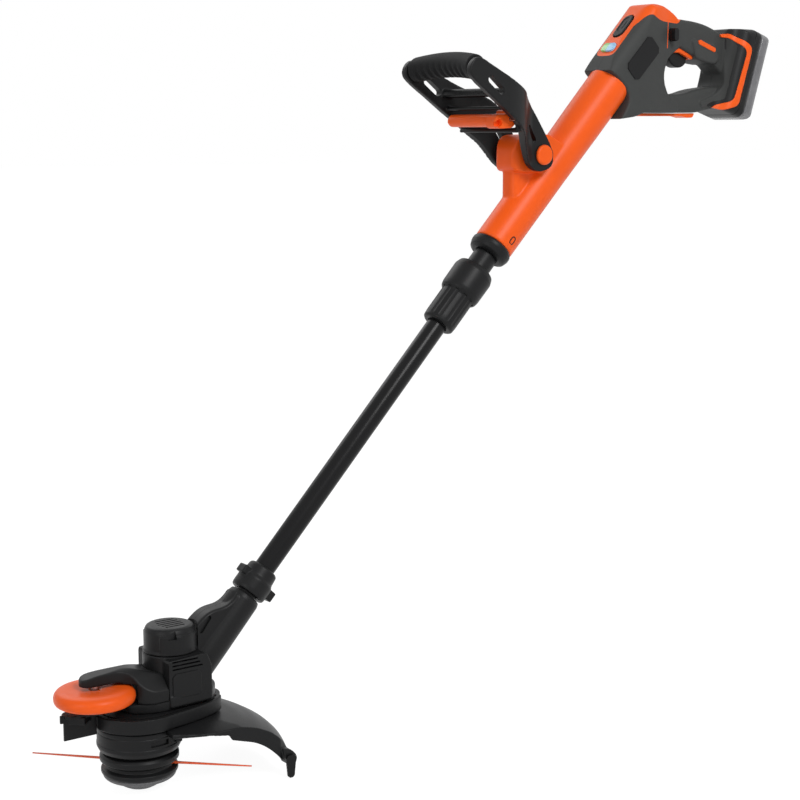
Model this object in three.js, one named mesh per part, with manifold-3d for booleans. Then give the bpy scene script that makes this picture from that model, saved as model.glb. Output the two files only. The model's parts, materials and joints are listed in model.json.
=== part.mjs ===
// Cordless string trimmer with a telescoping shaft, an edging wheel and a slide-on battery.
// Millimetres, +Z up. The origin is the middle of the bump cap's flat foot, on the spool's axis.
// +X runs towards the battery in the symmetry plane and -Y is the left-hand side.
import * as THREE from "three";
import { mergeVertices } from "three/addons/utils/BufferGeometryUtils.js";
import Module from "manifold-3d";

const wasm = await Module();
wasm.setup();

// Driving dimensions
const GAP = 0.3;                    // clearance between pieces that touch
const SHAFT_ANGLE = 46.75;          // degrees the shaft rises from the ground
const SHAFT_X = 178.8;              // a point on the shaft's axis, where its length s is 0
const SHAFT_Z = 238.4;
const TUBE_R = 12.5;                // lower tube
const SPOOL_R = 43;
const DRUM_R = 46.5;
const DRUM_Z0 = 48;
const DRUM_Z1 = 76;
const PLATE_Z0 = 77;                // guard mount plate on top of the drum
const PLATE_Z1 = 93;
const WELL_Z0 = 80.5;               // floor of the gear well
const HEAD_Z0 = 93.3;               // underside of the motor housing
const HEAD_Z1 = 151;                // seam below the motor cap
const HEAD_R = 31;
const MOTOR_TOP = 181;
const GEAR_MODULE = 1.5;
const PINION_TEETH = 11;
const SPOOL_TEETH = 44;
const MOTOR_X = GEAR_MODULE * (PINION_TEETH + SPOOL_TEETH) / 2;
const LINE_Z = 30;
const LINE_R = 1.2;
const WHEEL_X = -52.5;
const WHEEL_R = 44.5;
const WHEEL_Z0 = 107.3;
const WHEEL_Z1 = 125;
const GUARD_R = 166;
const GUARD_HALF = 76;
const GUARD_WALL = 3;
const NUT_S0 = 345;                 // telescope clamp nut, along the shaft
const NUT_S1 = 434;
const BARREL_S0 = 472;              // orange upper tube
const BARREL_S1 = 790;
const PIVOT_X = 553;                // assist handle's pivot
const PIVOT_Z = 694;
const GRIP_HALF = 18;               // half the rear grip's width
const BODY_HALF = 29;               // half the rear housing's width
const DOCK_HALF = 36;               // half the battery's width
const PACK_TILT = 17.4;             // degrees the battery leans back from upright
const PACK_X = 906;                 // a point on the battery's mating face
const PACK_Z = 797;

const deg = (a) => a * Math.PI / 180;

// Materials
const paint = (color, roughness, metalness = 0) =>
  new THREE.MeshStandardMaterial({ color, roughness, metalness });
const BLACK = paint(0x242526, 0.5);
const GREY = paint(0x4c4e4d, 0.6);
const ORANGE = paint(0xff6a2c, 0.4);
const RUBBER = paint(0x2c2d2d, 0.8);
const STEEL = paint(0xb8babd, 0.35, 1);
const BRASS = paint(0xc9a24d, 0.35, 1);
const SMOKED = paint(0x8b8d90, 0.25);
const COPPER = paint(0xb06a3c, 0.4, 1);
const LAMP = paint(0x9fe0c0, 0.2);

// Turns a closed geometry into a solid, dropping doubled points and empty triangles
function solid(geometry) {
  const bare = geometry.clone();
  for (const name of Object.keys(bare.attributes)) {
    if (name !== "position") bare.deleteAttribute(name);
  }
  const merged = mergeVertices(bare, 1e-5);
  const vertProperties = new Float32Array(merged.attributes.position.array);
  const make = (flip) => {
    const tris = [];
    const index = merged.index.array;
    for (let i = 0; i < index.length; i += 3) {
      const [a, b, c] = [index[i], index[i + 1], index[i + 2]];
      if (a === b || b === c || c === a) continue;
      tris.push(a, flip ? c : b, flip ? b : c);
    }
    const triVerts = new Uint32Array(tris);
    return new wasm.Manifold(new wasm.Mesh({ numProp: 3, vertProperties, triVerts }));
  };
  const first = make(false);
  return first.volume() < 0 ? make(true) : first;
}

const cut = (a, ...others) => others.reduce((whole, other) => whole.subtract(other), a);
const join = (a, ...others) => others.reduce((whole, other) => whole.add(other), a);
const clip = (a, b) => a.intersect(b);

// Moves a solid by a three.js matrix
function moved(body, matrix) {
  return body.transform(matrix.elements.slice());
}
const shifted = (body, x, y, z) => moved(body, new THREE.Matrix4().makeTranslation(x, y, z));

function box(x0, x1, y0, y1, z0, z1) {
  const g = new THREE.BoxGeometry(x1 - x0, y1 - y0, z1 - z0);
  g.translate((x0 + x1) / 2, (y0 + y1) / 2, (z0 + z1) / 2);
  return solid(g);
}

// An upright solid of revolution from [radius, height] pairs
function turned(profile, steps = 22) {
  const g = new THREE.LatheGeometry(profile.map(([r, z]) => new THREE.Vector2(r, z)), steps);
  g.rotateX(Math.PI / 2);
  return solid(g);
}
const rod = (r, z0, z1, steps = 14) => turned([[0, z0], [r, z0], [r, z1], [0, z1]], steps);
const ring = (r0, r1, z0, z1, steps = 22) =>
  turned([[r0, z0], [r1, z0], [r1, z1], [r0, z1], [r0, z0]], steps);
const onSide = (body) => moved(body, new THREE.Matrix4().makeRotationX(-Math.PI / 2));

// An outline drawn out to a depth, with its edges rounded inside it, or grown all round
function bevelled(shape, depth, bevel, curveSegments, grow = 0) {
  const edge = grow > 0 ? 0.01 : bevel;
  const g = new THREE.ExtrudeGeometry(shape, {
    depth: depth - 2 * edge, curveSegments,
    bevelEnabled: edge > 0, bevelThickness: edge, bevelSize: grow > 0 ? 0 : edge,
    bevelOffset: grow > 0 ? grow : -edge, bevelSegments: edge > 5 ? 2 : 1,
  });
  g.translate(0, 0, edge);
  return g;
}
// Rounds the edges as far as asked, or as far as the outline's tightest corner allows
function widest(bevel, draw) {
  for (let edge = bevel; edge > 0; edge -= 0.5) {
    try {
      return solid(draw(edge));
    } catch (tooTight) {
      continue;
    }
  }
  return solid(draw(0));
}
// A plan outline (x, y) raised from z0 to z1
function raised(shape, z0, z1, bevel = 0, curveSegments = 4) {
  return widest(bevel, (edge) => {
    const g = bevelled(shape, z1 - z0, edge, curveSegments);
    g.translate(0, 0, z0);
    return g;
  });
}
// A side outline (x, z) as thick as y0 to y1
function slab(shape, y0, y1, bevel = 0, curveSegments = 4, grow = 0) {
  return widest(bevel, (edge) => {
    const g = bevelled(shape, y1 - y0, edge, curveSegments, grow);
    g.rotateX(Math.PI / 2);
    g.translate(0, y1, 0);
    return g;
  });
}
const STEP_TURN = 2.5;
// A closed outline through corner points, each rounded by its own radius
function rounded(points) {
  const shape = new THREE.Shape();
  const n = points.length;
  points.forEach(([x, y, r = 0], i) => {
    const at = new THREE.Vector2(x, y);
    const before = new THREE.Vector2(...points[(i + n - 1) % n].slice(0, 2)).sub(at);
    const after = new THREE.Vector2(...points[(i + 1) % n].slice(0, 2)).sub(at);
    const into = at.clone().addScaledVector(before.clone().normalize(),
      Math.min(r, before.length() / 2.05));
    const out = at.clone().addScaledVector(after.clone().normalize(), Math.min(r, after.length() / 2.05));
    if (i === 0) shape.moveTo(into.x, into.y);
    else shape.lineTo(into.x, into.y);
    if (r === 0) return;
    // A wide or sharp bend takes more steps than a small or slight one
    const turn = Math.PI - before.angleTo(after);
    const steps = Math.max(1, Math.round(Math.sqrt(r) * turn / STEP_TURN));
    const bend = new THREE.QuadraticBezierCurve(into, at, out);
    for (const point of bend.getPoints(steps).slice(1)) shape.lineTo(point.x, point.y);
  });
  shape.closePath();
  return shape;
}
// A slot outline with round ends, centred on (x, y) and turned by an angle
function stadium(x, y, length, width, angle = 0) {
  const shape = new THREE.Shape();
  const half = (length - width) / 2;
  const c = Math.cos(deg(angle));
  const s = Math.sin(deg(angle));
  shape.absarc(x + half * c, y + half * s, width / 2, deg(angle - 90), deg(angle + 90), false);
  shape.absarc(x - half * c, y - half * s, width / 2, deg(angle + 90), deg(angle + 270), false);
  shape.closePath();
  return shape;
}
// Splits a casing in its symmetry plane
const SPAN = 1200;
const leftHalf = (body) => clip(body, box(-SPAN, SPAN, -SPAN, -GAP / 2, -SPAN, SPAN));
const rightHalf = (body) => clip(body, box(-SPAN, SPAN, GAP / 2, SPAN, -SPAN, SPAN));

// Places a solid drawn along its own z on the shaft's axis, its x towards the underside
const SHAFT = new THREE.Matrix4().makeTranslation(SHAFT_X, 0, SHAFT_Z)
  .multiply(new THREE.Matrix4().makeRotationY(deg(90 - SHAFT_ANGLE)));
const onShaft = (body) => moved(body, SHAFT);

// Spool and its cap
function bumpCap() {
  return turned([[0, 0], [7, 0], [14, 1.3], [20, 4], [24, 6.5], [34, 10], [39, 14], [40.5, 17],
    [40.5, 19.2], [0, 19.2]], 24);
}
function spoolBody() {
  const reel = turned([[0, 19.5], [43, 19.5], [44.5, 22], [44, 25], [38, 27], [38, 33], [41, 35],
    [SPOOL_R, 38], [SPOOL_R, 42], [40.5, 46], [38, 46.5], [38, 50], [40, 51], [40, 53], [22, 53],
    [22, 63], [40, 63], [40, 65], [9, 65], [9, 68], [0, 68]], 20);
  const bore = rod(4 + GAP, 40, 80);
  const eyelets = LINE_ANGLES.map((a) => moved(rod(2.6, 30, 50, 8), new THREE.Matrix4()
    .makeTranslation(0, 0, LINE_Z)
    .multiply(new THREE.Matrix4().makeRotationZ(deg(a)))
    .multiply(new THREE.Matrix4().makeRotationY(Math.PI / 2))));
  return cut(reel, bore, ...eyelets);
}
const LINE_ANGLES = [133, -44];
const LINE_TIPS = [126.5, 127.5];
const LINE_START = 33;
// One free end of the cutting line, straight out of its eyelet
function lineTail(i) {
  const a = deg(LINE_ANGLES[i]);
  const at = (r) => new THREE.Vector3(r * Math.cos(a), r * Math.sin(a), LINE_Z);
  const section = new THREE.Shape();
  section.absarc(0, 0, LINE_R, 0, 2 * Math.PI, false);
  const path = new THREE.LineCurve3(at(LINE_START), at(LINE_TIPS[i]));
  return solid(new THREE.ExtrudeGeometry(section, { extrudePath: path, steps: 5, curveSegments: 4 }));
}
// The line still wound on the spool
const lineWinding = () => ring(22 + GAP, 37, 53 + GAP, 63 - GAP, 20);
// A spur gear with straight-sided teeth, bored for its shaft
function gear(teeth, z0, z1, bore) {
  const pitch = GEAR_MODULE * teeth / 2;
  const outline = new THREE.Shape();
  for (let i = 0; i < teeth; i++) {
    const a = 2 * Math.PI * i / teeth;
    const w = Math.PI / teeth;
    const corners = [[pitch - 1.3 * GEAR_MODULE, -1], [pitch + 0.65 * GEAR_MODULE, -0.24],
      [pitch + 0.65 * GEAR_MODULE, 0.24]];
    corners.forEach(([r, f], k) => {
      const x = r * Math.cos(a + f * w);
      const y = r * Math.sin(a + f * w);
      if (i === 0 && k === 0) outline.moveTo(x, y);
      else outline.lineTo(x, y);
    });
  }
  outline.closePath();
  return cut(raised(outline, z0, z1), rod(bore, z0 - 1, z1 + 1));
}
const spindle = () => rod(4, 40.5 + GAP, 91, 16);

// Guard, drum and wheel
function spoolDrum() {
  const wall = turned([[DRUM_R - 3, DRUM_Z0], [DRUM_R, DRUM_Z0 + 1], [DRUM_R, DRUM_Z1 - 2],
    [DRUM_R - 2, DRUM_Z1], [6, DRUM_Z1], [6, DRUM_Z1 - 3], [DRUM_R - 3, DRUM_Z1 - 3],
    [DRUM_R - 3, DRUM_Z0]], 24);
  const window_ = box(-9, 13, -60, -30, 60, 66);
  const hook = box(24, 32, -41.5, -34, 58, 73);
  return join(cut(wall, window_), cut(hook, rod(DRUM_R - 4, 40, 80)));
}
function mountPlate() {
  const outline = new THREE.Shape();
  outline.absarc(0, 0, 51, deg(70), deg(290), false);
  outline.quadraticCurveTo(76, -40, 94, -21);
  outline.absarc(80.5, 0, 20.5, deg(-50), deg(50), false);
  outline.quadraticCurveTo(76, 40, 17.4, 47.9);
  const plate = raised(outline, PLATE_Z0, PLATE_Z1, 3, 5);
  const boss = rod(8.5, DRUM_Z1 + GAP, PLATE_Z0 + 1);
  // The plate holds the gears in a well under the motor housing
  const gearWell = rod(36, WELL_Z0, 100, 24);
  const pinionWell = shifted(rod(11, WELL_Z0, 100), MOTOR_X, 0, 0);
  return cut(join(plate, boss), rod(4 + GAP, 60, 100, 16), gearWell, pinionWell);
}
// The guard is a domed fan: a turned dome clipped by a plan outline, then hollowed from below
function guardPlan(inset) {
  const plan = new THREE.Shape();
  const r = GUARD_R - inset;
  const half = GUARD_HALF - inset;
  const a = Math.asin(half / r);
  plan.moveTo(10 + inset, -half + 16);
  plan.lineTo(44, -half + 2);
  plan.lineTo(80, -half);
  plan.lineTo(r * Math.cos(a) - 10, -half);
  plan.absarc(0, 0, r, -a + 0.05, a - 0.05, false);
  plan.lineTo(r * Math.cos(a) - 10, half);
  plan.lineTo(80, half);
  plan.lineTo(44, half - 2);
  plan.lineTo(10 + inset, half - 16);
  plan.closePath();
  return plan;
}
function guardDome(inset) {
  const fall = [[167, 20], [165, 34], [159, 46], [148, 57], [132, 66.5], [112, 73], [88, 76],
    [60, 76.5], [0, 76.5]];
  const points = fall.map(([r, z]) => [r * (1 - inset / GUARD_R), z - inset]);
  return turned([[0, -20], [points[0][0], -20], ...points], 32);
}
function guardShell() {
  const crown = new THREE.Shape();
  crown.moveTo(-100, -20);
  crown.lineTo(100, -20);
  crown.lineTo(100, 64);
  crown.quadraticCurveTo(70, 78, 0, 78);
  crown.quadraticCurveTo(-70, 78, -100, 64);
  crown.closePath();
  const vault = (drop) => shifted(moved(raised(crown, -20, 220), new THREE.Matrix4().makeBasis(
    new THREE.Vector3(0, 1, 0), new THREE.Vector3(0, 0, 1), new THREE.Vector3(1, 0, 0))), 0, 0, -drop);
  const outer = clip(clip(guardDome(0), raised(guardPlan(0), -10, 90, 0, 10)), vault(0));
  const inner = clip(clip(guardDome(GUARD_WALL), raised(guardPlan(GUARD_WALL), -12, 90, 0, 10)),
    vault(GUARD_WALL));
  // The lower rim falls from the drum to the line cutter
  const below = new THREE.Shape();
  below.moveTo(-20, -30);
  below.lineTo(200, -30);
  below.lineTo(200, 21);
  below.lineTo(141, 21);
  below.quadraticCurveTo(120, 46, 97, 52.5);
  below.lineTo(76, 59);
  below.lineTo(72, 65);
  below.quadraticCurveTo(60, 67, 48, 69.5);
  below.lineTo(-20, 69.5);
  below.closePath();
  const seat = rod(DRUM_R + GAP, 0, 80, 24);
  const shell = cut(outer, inner, slab(below, -120, 120), seat);
  const tab = slab(rounded([[139, 36, 2], [149, 34.5, 6], [158.5, 25, 6], [157, 16, 3], [145, 16, 2]]),
    BLADE_Y1 + GAP, -64, 1);
  return join(shell, tab);
}
// The blade hangs from the guard's corner tab and trims the line to length
const BLADE_Y1 = -79.5;
function cutterBlade() {
  const blade = rounded([[144, 1.5, 2], [152, 1.5, 2], [155, 28, 3], [141, 28, 3]]);
  return slab(blade, BLADE_Y1 - 3, BLADE_Y1);
}
function edgeWheel() {
  const tyre = [[5, WHEEL_Z0 + 4], [30, WHEEL_Z0 + 4], [33, WHEEL_Z0], [39, WHEEL_Z0],
    [43, WHEEL_Z0 + 2.5], [WHEEL_R, WHEEL_Z0 + 6], [WHEEL_R, WHEEL_Z1 - 6], [42.5, WHEEL_Z1 - 2.5],
    [37, WHEEL_Z1 - 0.3], [29, WHEEL_Z1], [5, WHEEL_Z1 - 0.6], [5, WHEEL_Z0 + 4]];
  return shifted(turned(tyre, 24), WHEEL_X, 0, 0);
}
const wheelAxle = () => shifted(turned([[0, 101.5], [8, 101.5], [8, 104.5], [4.6, 104.5], [4.6, 132.5],
  [0, 132.5]], 16), WHEEL_X, 0, 0);
// The vertical fin under the wheel keeps clippings off the drum
function wheelFin() {
  const fin = slab(rounded([[-90, 72], [-51.5, 72], [-51.5, 100.9], [-94, 100.9], [-94, 92],
    [-90, 92]]), -1.5, 1.5);
  const gusset = new THREE.Shape();
  gusset.moveTo(-86, -1);
  gusset.lineTo(-58, -1);
  gusset.lineTo(-72, -14);
  gusset.closePath();
  const shelf = raised(rounded([[-90, -9, 4], [-23, -16, 2], [-23, 16, 2], [-90, 9, 4]]), 97.4, 100.9);
  return join(fin, raised(gusset, 90, 98), shelf);
}

// Motor head
const atMotor = (body) => shifted(body, MOTOR_X, 0, 0);
function headCasing() {
  const base = raised(rounded([[-22, -20, 8], [4, -36, 14], [77, -32, 8], [89, -16, 8], [89, 16, 8],
    [77, 32, 8], [4, 36, 14], [-22, 20, 8]]), HEAD_Z0, 104, 1.5);
  const barrel = atMotor(rod(HEAD_R, HEAD_Z0, HEAD_Z1, 28));
  const rear = raised(rounded([[38, -31], [72, -28, 10], [86, -14, 8], [86, 14, 8], [72, 28, 10],
    [38, 31]]),
    HEAD_Z0, 128);
  const panel = rounded([[20, 97, 2], [74, 97, 3], [74, 136, 3], [68, 151, 3], [20, 149, 3]]);
  const panels = join(slab(panel, -36.5, -20, 1), slab(panel, 20, 36.5, 1));
  const spine = rounded([[48, 98], [48, 149], [64, 151], [64, 172, 4], [72, 180, 6], [82, 187.5, 6],
    [91, 190.5, 6], [107, 192, 8], [117, 198, 6], [123, 205], [140, 180], [86.2, 119.5, 6], [83, 98]]);
  const neck = onShaft(turned([[0, -165], [21, -165], [20.5, -120], [19.5, -62], [18, -57], [0, -57]],
    24));
  const whole = join(base, barrel, rear, panels, slab(spine, -14, 14, 5), neck);
  const motorBay = atMotor(rod(25, 104, 200, 20));
  const shaftHole = atMotor(rod(6, 80, 120, 14));
  const capSeat = atMotor(rod(HEAD_R + 0.1, HEAD_Z1, 200, 24));
  const tubeSeat = onShaft(rod(TUBE_R + GAP, -118, 0, 20));
  return cut(whole, motorBay, shaftHole, capSeat, tubeSeat, ...panelSlits(), neckSlot());
}
// Three cooling slits over each badge place, and the slot in the neck
function panelSlits() {
  const slits = [];
  for (const side of [-1, 1]) {
    for (let i = 0; i < 3; i++) {
      const z = 138 + 4.2 * i;
      slits.push(box(24, 62 - 3 * i, side * 31 - 6.5, side * 31 + 6.5, z, z + 1.8));
    }
  }
  return slits;
}
const neckSlot = () => slab(stadium(79, 176, 22, 5, 52), -30, -11.5);
// The arm over the wheel is a finger that flares into a saddle round the front of the motor barrel
function wheelArm() {
  const plan = new THREE.Shape();
  plan.moveTo(20, -36.3);
  plan.lineTo(5, -36.3);
  plan.quadraticCurveTo(-9, -34, -14, -22);
  plan.quadraticCurveTo(-19, -10.5, -34, -10);
  plan.absarc(-60, 0, 10, deg(270), deg(90), true);
  plan.lineTo(-34, 10);
  plan.quadraticCurveTo(-19, 10.5, -14, 22);
  plan.quadraticCurveTo(-9, 34, 5, 36.3);
  plan.lineTo(20, 36.3);
  plan.closePath();
  const side = rounded([[-71, 128.5, 2], [-71, 135.5, 5], [-60, 140, 10], [-16, 142.5, 10], [20, 132],
    [20, 104 + GAP], [-20, 104 + GAP], [-20, 121, 4], [-26, 128, 4]]);
  const crown = rounded([[-37, 90], [-37, 117], [-11, 142.5, 14], [11, 142.5, 14], [37, 117], [37, 90]]);
  const across = moved(raised(crown, -90, 60), new THREE.Matrix4().makeBasis(
    new THREE.Vector3(0, 1, 0), new THREE.Vector3(0, 0, 1), new THREE.Vector3(1, 0, 0)));
  const arm = clip(clip(raised(plan, 90, 160, 0, 6), slab(side, -60, 60, 0, 5)), across);
  const axleHole = shifted(rod(4.6 + GAP, 120, 133, 16), WHEEL_X, 0, 0);
  const wheelRoom = shifted(rod(WHEEL_R + 2.5, 90, WHEEL_Z1 + 1.5, 32), WHEEL_X, 0, 0);
  return cut(arm, atMotor(rod(HEAD_R + GAP, 90, 160, 28)),
    axleHole, wheelRoom, box(19.7, 60, -60, 60, 90, 200));
}
// The motor cap is a vented cup with a notch in its rim
function motorCap() {
  const cup = turned([[26, HEAD_Z1 + GAP], [30.5, HEAD_Z1 + GAP], [30.2, HEAD_Z1 + 2.5],
    [29.2, HEAD_Z1 + 3.5], [28.6, MOTOR_TOP - 6], [26.5, MOTOR_TOP - 1.5], [23, MOTOR_TOP],
    [0, MOTOR_TOP], [0, MOTOR_TOP - 3], [26, MOTOR_TOP - 3], [26, HEAD_Z1 + GAP]], 24);
  const vents = [];
  for (let i = -2; i <= 2; i++) {
    vents.push(raised(stadium(0, i * 6.5, 30 - 3 * Math.abs(i), 2.6, 0),
      MOTOR_TOP - 5, MOTOR_TOP + 2, 0, 3));
  }
  const notch = box(-14, -4, -31, -24.5, MOTOR_TOP - 9, MOTOR_TOP + 1);
  return atMotor(cut(cup, ...vents, notch));
}
const motorCan = () => atMotor(turned([[4, 106], [24, 106], [24, 172], [4, 172], [4, 169], [21, 169],
  [21, 109], [4, 109], [4, 106]], 16));
const motorRotor = () => atMotor(turned([[0, 81], [3, 81], [3, 111], [17, 114], [17, 160], [6, 163],
  [3, 165], [3, 175], [0, 175]], 16));
const headBadge = () => slab(rounded([[24, 106, 4], [60, 106, 4], [60, 134, 4], [24, 134, 4]]),
  -37.7, -36.5 - 0.05);

// Shaft
const lowerTube = () => onShaft(ring(TUBE_R - 1.4, TUBE_R, -116, 560, 20));
// The sprung collar at the foot of the tube frees the head to turn
function swivelCollar() {
  const sleeve = turned([[TUBE_R + GAP, -54], [20.5, -54], [21.5, -50], [21.5, -36], [19, -32], [18, -21],
    [15.5, -19], [TUBE_R + GAP, -19], [TUBE_R + GAP, -54]], 20);
  const lugs = [];
  for (const [x0, x1, s0, s1] of [[-27, -17, -40, -30], [17, 30, -46, -34]]) {
    lugs.push(raised(rounded([[x0, -8, 3], [x1, -8, 3], [x1, 8, 3], [x0, 8, 3]]), s0, s1, 1));
  }
  return onShaft(join(sleeve, ...lugs));
}
// The nut has a plain bell above a fluted grip, with a recess in its top for the sleeve
function clampNut() {
  const bell = turned([[17.5, NUT_S0 + 1], [20.4, NUT_S0 + 3], [21, NUT_S0 + 10], [21, 390],
    [24.6, 394], [25.6, 399], [25.9, 426], [23.5, 433], [19, NUT_S1], [16.3, NUT_S1],
    [16.3, NUT_S0 + 8], [13.2, NUT_S0 + 8], [13.2, NUT_S0 + 1], [17.5, NUT_S0 + 1]], 20);
  const flutes = [];
  for (let i = 0; i < 12; i++) {
    const a = 2 * Math.PI * (i + 0.5) / 12;
    flutes.push(shifted(rod(2.4, NUT_S0 + 8, 391, 5), 21.9 * Math.cos(a), 21.9 * Math.sin(a), 0));
  }
  return onShaft(cut(bell, ...flutes));
}
const collet = () => onShaft(turned([[TUBE_R + GAP, 354], [14, 354], [14.8, 360], [15.6, 430],
  [15.6, 456], [TUBE_R + GAP, 456], [TUBE_R + GAP, 354]], 22));
const bezel = () => onShaft(turned([[TUBE_R + GAP, 456.3], [19.5, 456.3], [24.3, 459], [26.4, 465],
  [26.6, 469], [25.4, 471.6], [22, 471.7], [22, 484], [TUBE_R + GAP, 484], [TUBE_R + GAP, 456.3]], 24));

// Upper tube, with the boss that carries the assist handle
const boundary = [[690, 738], [709, 768, 22], [672, 799]];  // where the rear housing begins
function upperTube() {
  const lathe = new THREE.LatheGeometry([[0, BARREL_S0], [24.6, BARREL_S0], [25.4, BARREL_S0 + 2],
    [26, 600], [27.2, 680], [27.7, BARREL_S1], [0, BARREL_S1]].map(([r, z]) => new THREE.Vector2(r, z)),
    26);
  lathe.rotateX(Math.PI / 2);
  // The tube swells towards its underside as it nears the housing
  const at = lathe.attributes.position;
  for (let i = 0; i < at.count; i++) {
    at.setX(i, at.getX(i) + 2.3 * Math.max(0, at.getZ(i) - BARREL_S0) / (BARREL_S1 - BARREL_S0));
  }
  const boss = rounded([[523, 630], [523, 671, 3], [519, 674, 3], [518, 700, 14], [530, 718, 10],
    [598, 719.5, 8], [610, 706], [590, 668], [560, 630]]);
  const bossPlan = raised(rounded([[516, -26, 22], [640, -26], [640, 26], [516, 26, 22]]),
    600, 740, 0, 5);
  const whole = join(onShaft(solid(lathe)), clip(slab(boss, -26, 26, 2), bossPlan));
  const end = slab(rounded([...boundary, [672, 900], [900, 900], [900, 600], [690, 600]]), -60, 60);
  const bore = onShaft(join(rod(22 + GAP, 460, 484.5, 22), rod(22.6, 480, 700, 22)));
  const pin = shifted(onSide(rod(5 + GAP, -60, 60, 16)), PIVOT_X, 0, PIVOT_Z);
  return cut(whole, end, bore, pin);
}

// Assist handle, drawn round its pivot
const atPivot = (body) => shifted(body, PIVOT_X, 0, PIVOT_Z);
const LEVER_PIN = [-66, 43];          // where the squeeze lever's pin crosses, from the pivot
function handleFrame() {
  const side = rounded([[-120, 116, 4], [-58, 82, 16], [-43, 70, 10], [-22, 48, 10], [4, 24, 10],
    [17, 6, 12], [15, -16, 14], [-8, -22, 12], [-24, -12, 10], [-40, 16, 14], [-60, 38, 16],
    [-132, 86, 6], [-142, 95, 8], [-140, 107, 8], [-130, 115, 6]]);
  const band = new THREE.Shape();
  band.moveTo(-150, 60);
  band.lineTo(-80, 56);
  band.quadraticCurveTo(-58, 54, -46, 42);
  band.quadraticCurveTo(-34, 29, -20, 26.5 + GAP);
  band.lineTo(30, 26.5 + GAP);
  band.lineTo(30, 35);
  band.lineTo(-18, 35);
  band.quadraticCurveTo(-28, 37, -42, 52);
  band.quadraticCurveTo(-52, 64, -80, 66);
  band.lineTo(-150, 68);
  band.closePath();
  const ply = slab(side, -70, 70);
  const left = moved(raised(band, -40, 140, 0, 3), new THREE.Matrix4().makeScale(1, -1, 1));
  const arms = join(clip(ply, raised(band, -40, 140, 0, 3)), clip(ply, left));
  const upper = slab(rounded([[-87, 66, 2], [-74, 65, 2], [-72, 76, 3], [-84, 77, 3]]), -60, 60, 0, 4);
  const lower = slab(rounded([[-81, 55.5, 2], [-73, 55, 2], [-72, 60.5, 2], [-80, 61.5, 2]]),
    -60, 60, 0, 4);
  const rail = slab(rounded([[-62, 27, 2], [-55, 27, 2], [-53, 33, 2], [-60, 33, 2]]), -54, 54, 0, 4);
  const slots = [-1, 1].flatMap((s) => [
    slab(stadium(-101, 82, 30, 9, -38), s * 64 - 12, s * 64 + 12, 0, 3),
    slab(stadium(-20, 26, 24, 6, -58), s * 48 - 22, s * 48 + 22, 0, 3),
  ]);
  const hole = onSide(rod(5 + GAP, -60, 60, 16));
  const pinHole = shifted(onSide(rod(2.5 + GAP, -62, 62, 10)), LEVER_PIN[0], 0, LEVER_PIN[1]);
  return atPivot(cut(join(arms, upper, lower, rail), ...slots, hole, pinHole));
}
// The grip bar bows upwards between the arms and has finger grooves below
function handleGrip() {
  const path = new THREE.QuadraticBezierCurve3(new THREE.Vector3(-125, -59.4, 102),
    new THREE.Vector3(-113, 0, 112), new THREE.Vector3(-125, 59.4, 102));
  const section = new THREE.Shape();
  section.absellipse(0, 0, 15, 15, 0, 2 * Math.PI, false, 0);
  const bar = solid(new THREE.ExtrudeGeometry(section, { extrudePath: path, steps: 6,
    curveSegments: 7 }));
  const ends = box(-160, -80, -57.4, 57.4, 60, 140);
  const grooves = [];
  for (let i = 0; i < 9; i++) {
    const y = -44 + 11 * i;
    const fall = 5 * (y / 60) ** 2;
    grooves.push(moved(rod(3.4, -14, 14, 6), new THREE.Matrix4().makeTranslation(-120, y, 91.5 - fall)
      .multiply(new THREE.Matrix4().makeRotationY(Math.PI / 2))));
  }
  return atPivot(cut(clip(bar, ends), ...grooves));
}
const pivotBolt = () => atPivot(onSide(rod(5, -34.5, 34.5, 16)));
const pivotCap = (side) => atPivot(onSide(moved(turned([[0, 35 + GAP], [12.3, 35 + GAP], [12.3, 38],
  [10.5, 39.8], [0, 39.8]], 16), new THREE.Matrix4().makeRotationX(side > 0 ? Math.PI : 0))));
// The squeeze lever turns on a pin and locks the handle's angle
function handleLever() {
  const side = rounded([[-89, 40, 4], [-84, 33.5, 5], [-64, 36, 5], [-60, 45, 5], [-68, 49, 5],
    [-86, 48.5, 4]]);
  const bracket = rounded([[-88, 38, 4], [-84, 32, 5], [-62, 33, 5], [-56, 43, 5], [-60, 53.5, 4],
    [-69, 53.5, 4], [-70, 48], [-86, 48, 4]]);
  const recess = slab(stadium(-77, 40, 12, 6, 30), -52, -46.5);
  const pin = shifted(onSide(rod(2.5 + GAP, -60, 60, 10)), LEVER_PIN[0], 0, LEVER_PIN[1]);
  return atPivot(cut(join(slab(side, -50, 44, 2), slab(bracket, -50, -28, 1.5)), pin, recess));
}
const leverPin = () => atPivot(shifted(onSide(rod(2.5, -60, 60, 10)), LEVER_PIN[0], 0, LEVER_PIN[1]));

// Rear housing
const BATTERY = new THREE.Matrix4().makeTranslation(PACK_X, 0, PACK_Z)
  .multiply(new THREE.Matrix4().makeRotationY(deg(PACK_TILT)));
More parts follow.
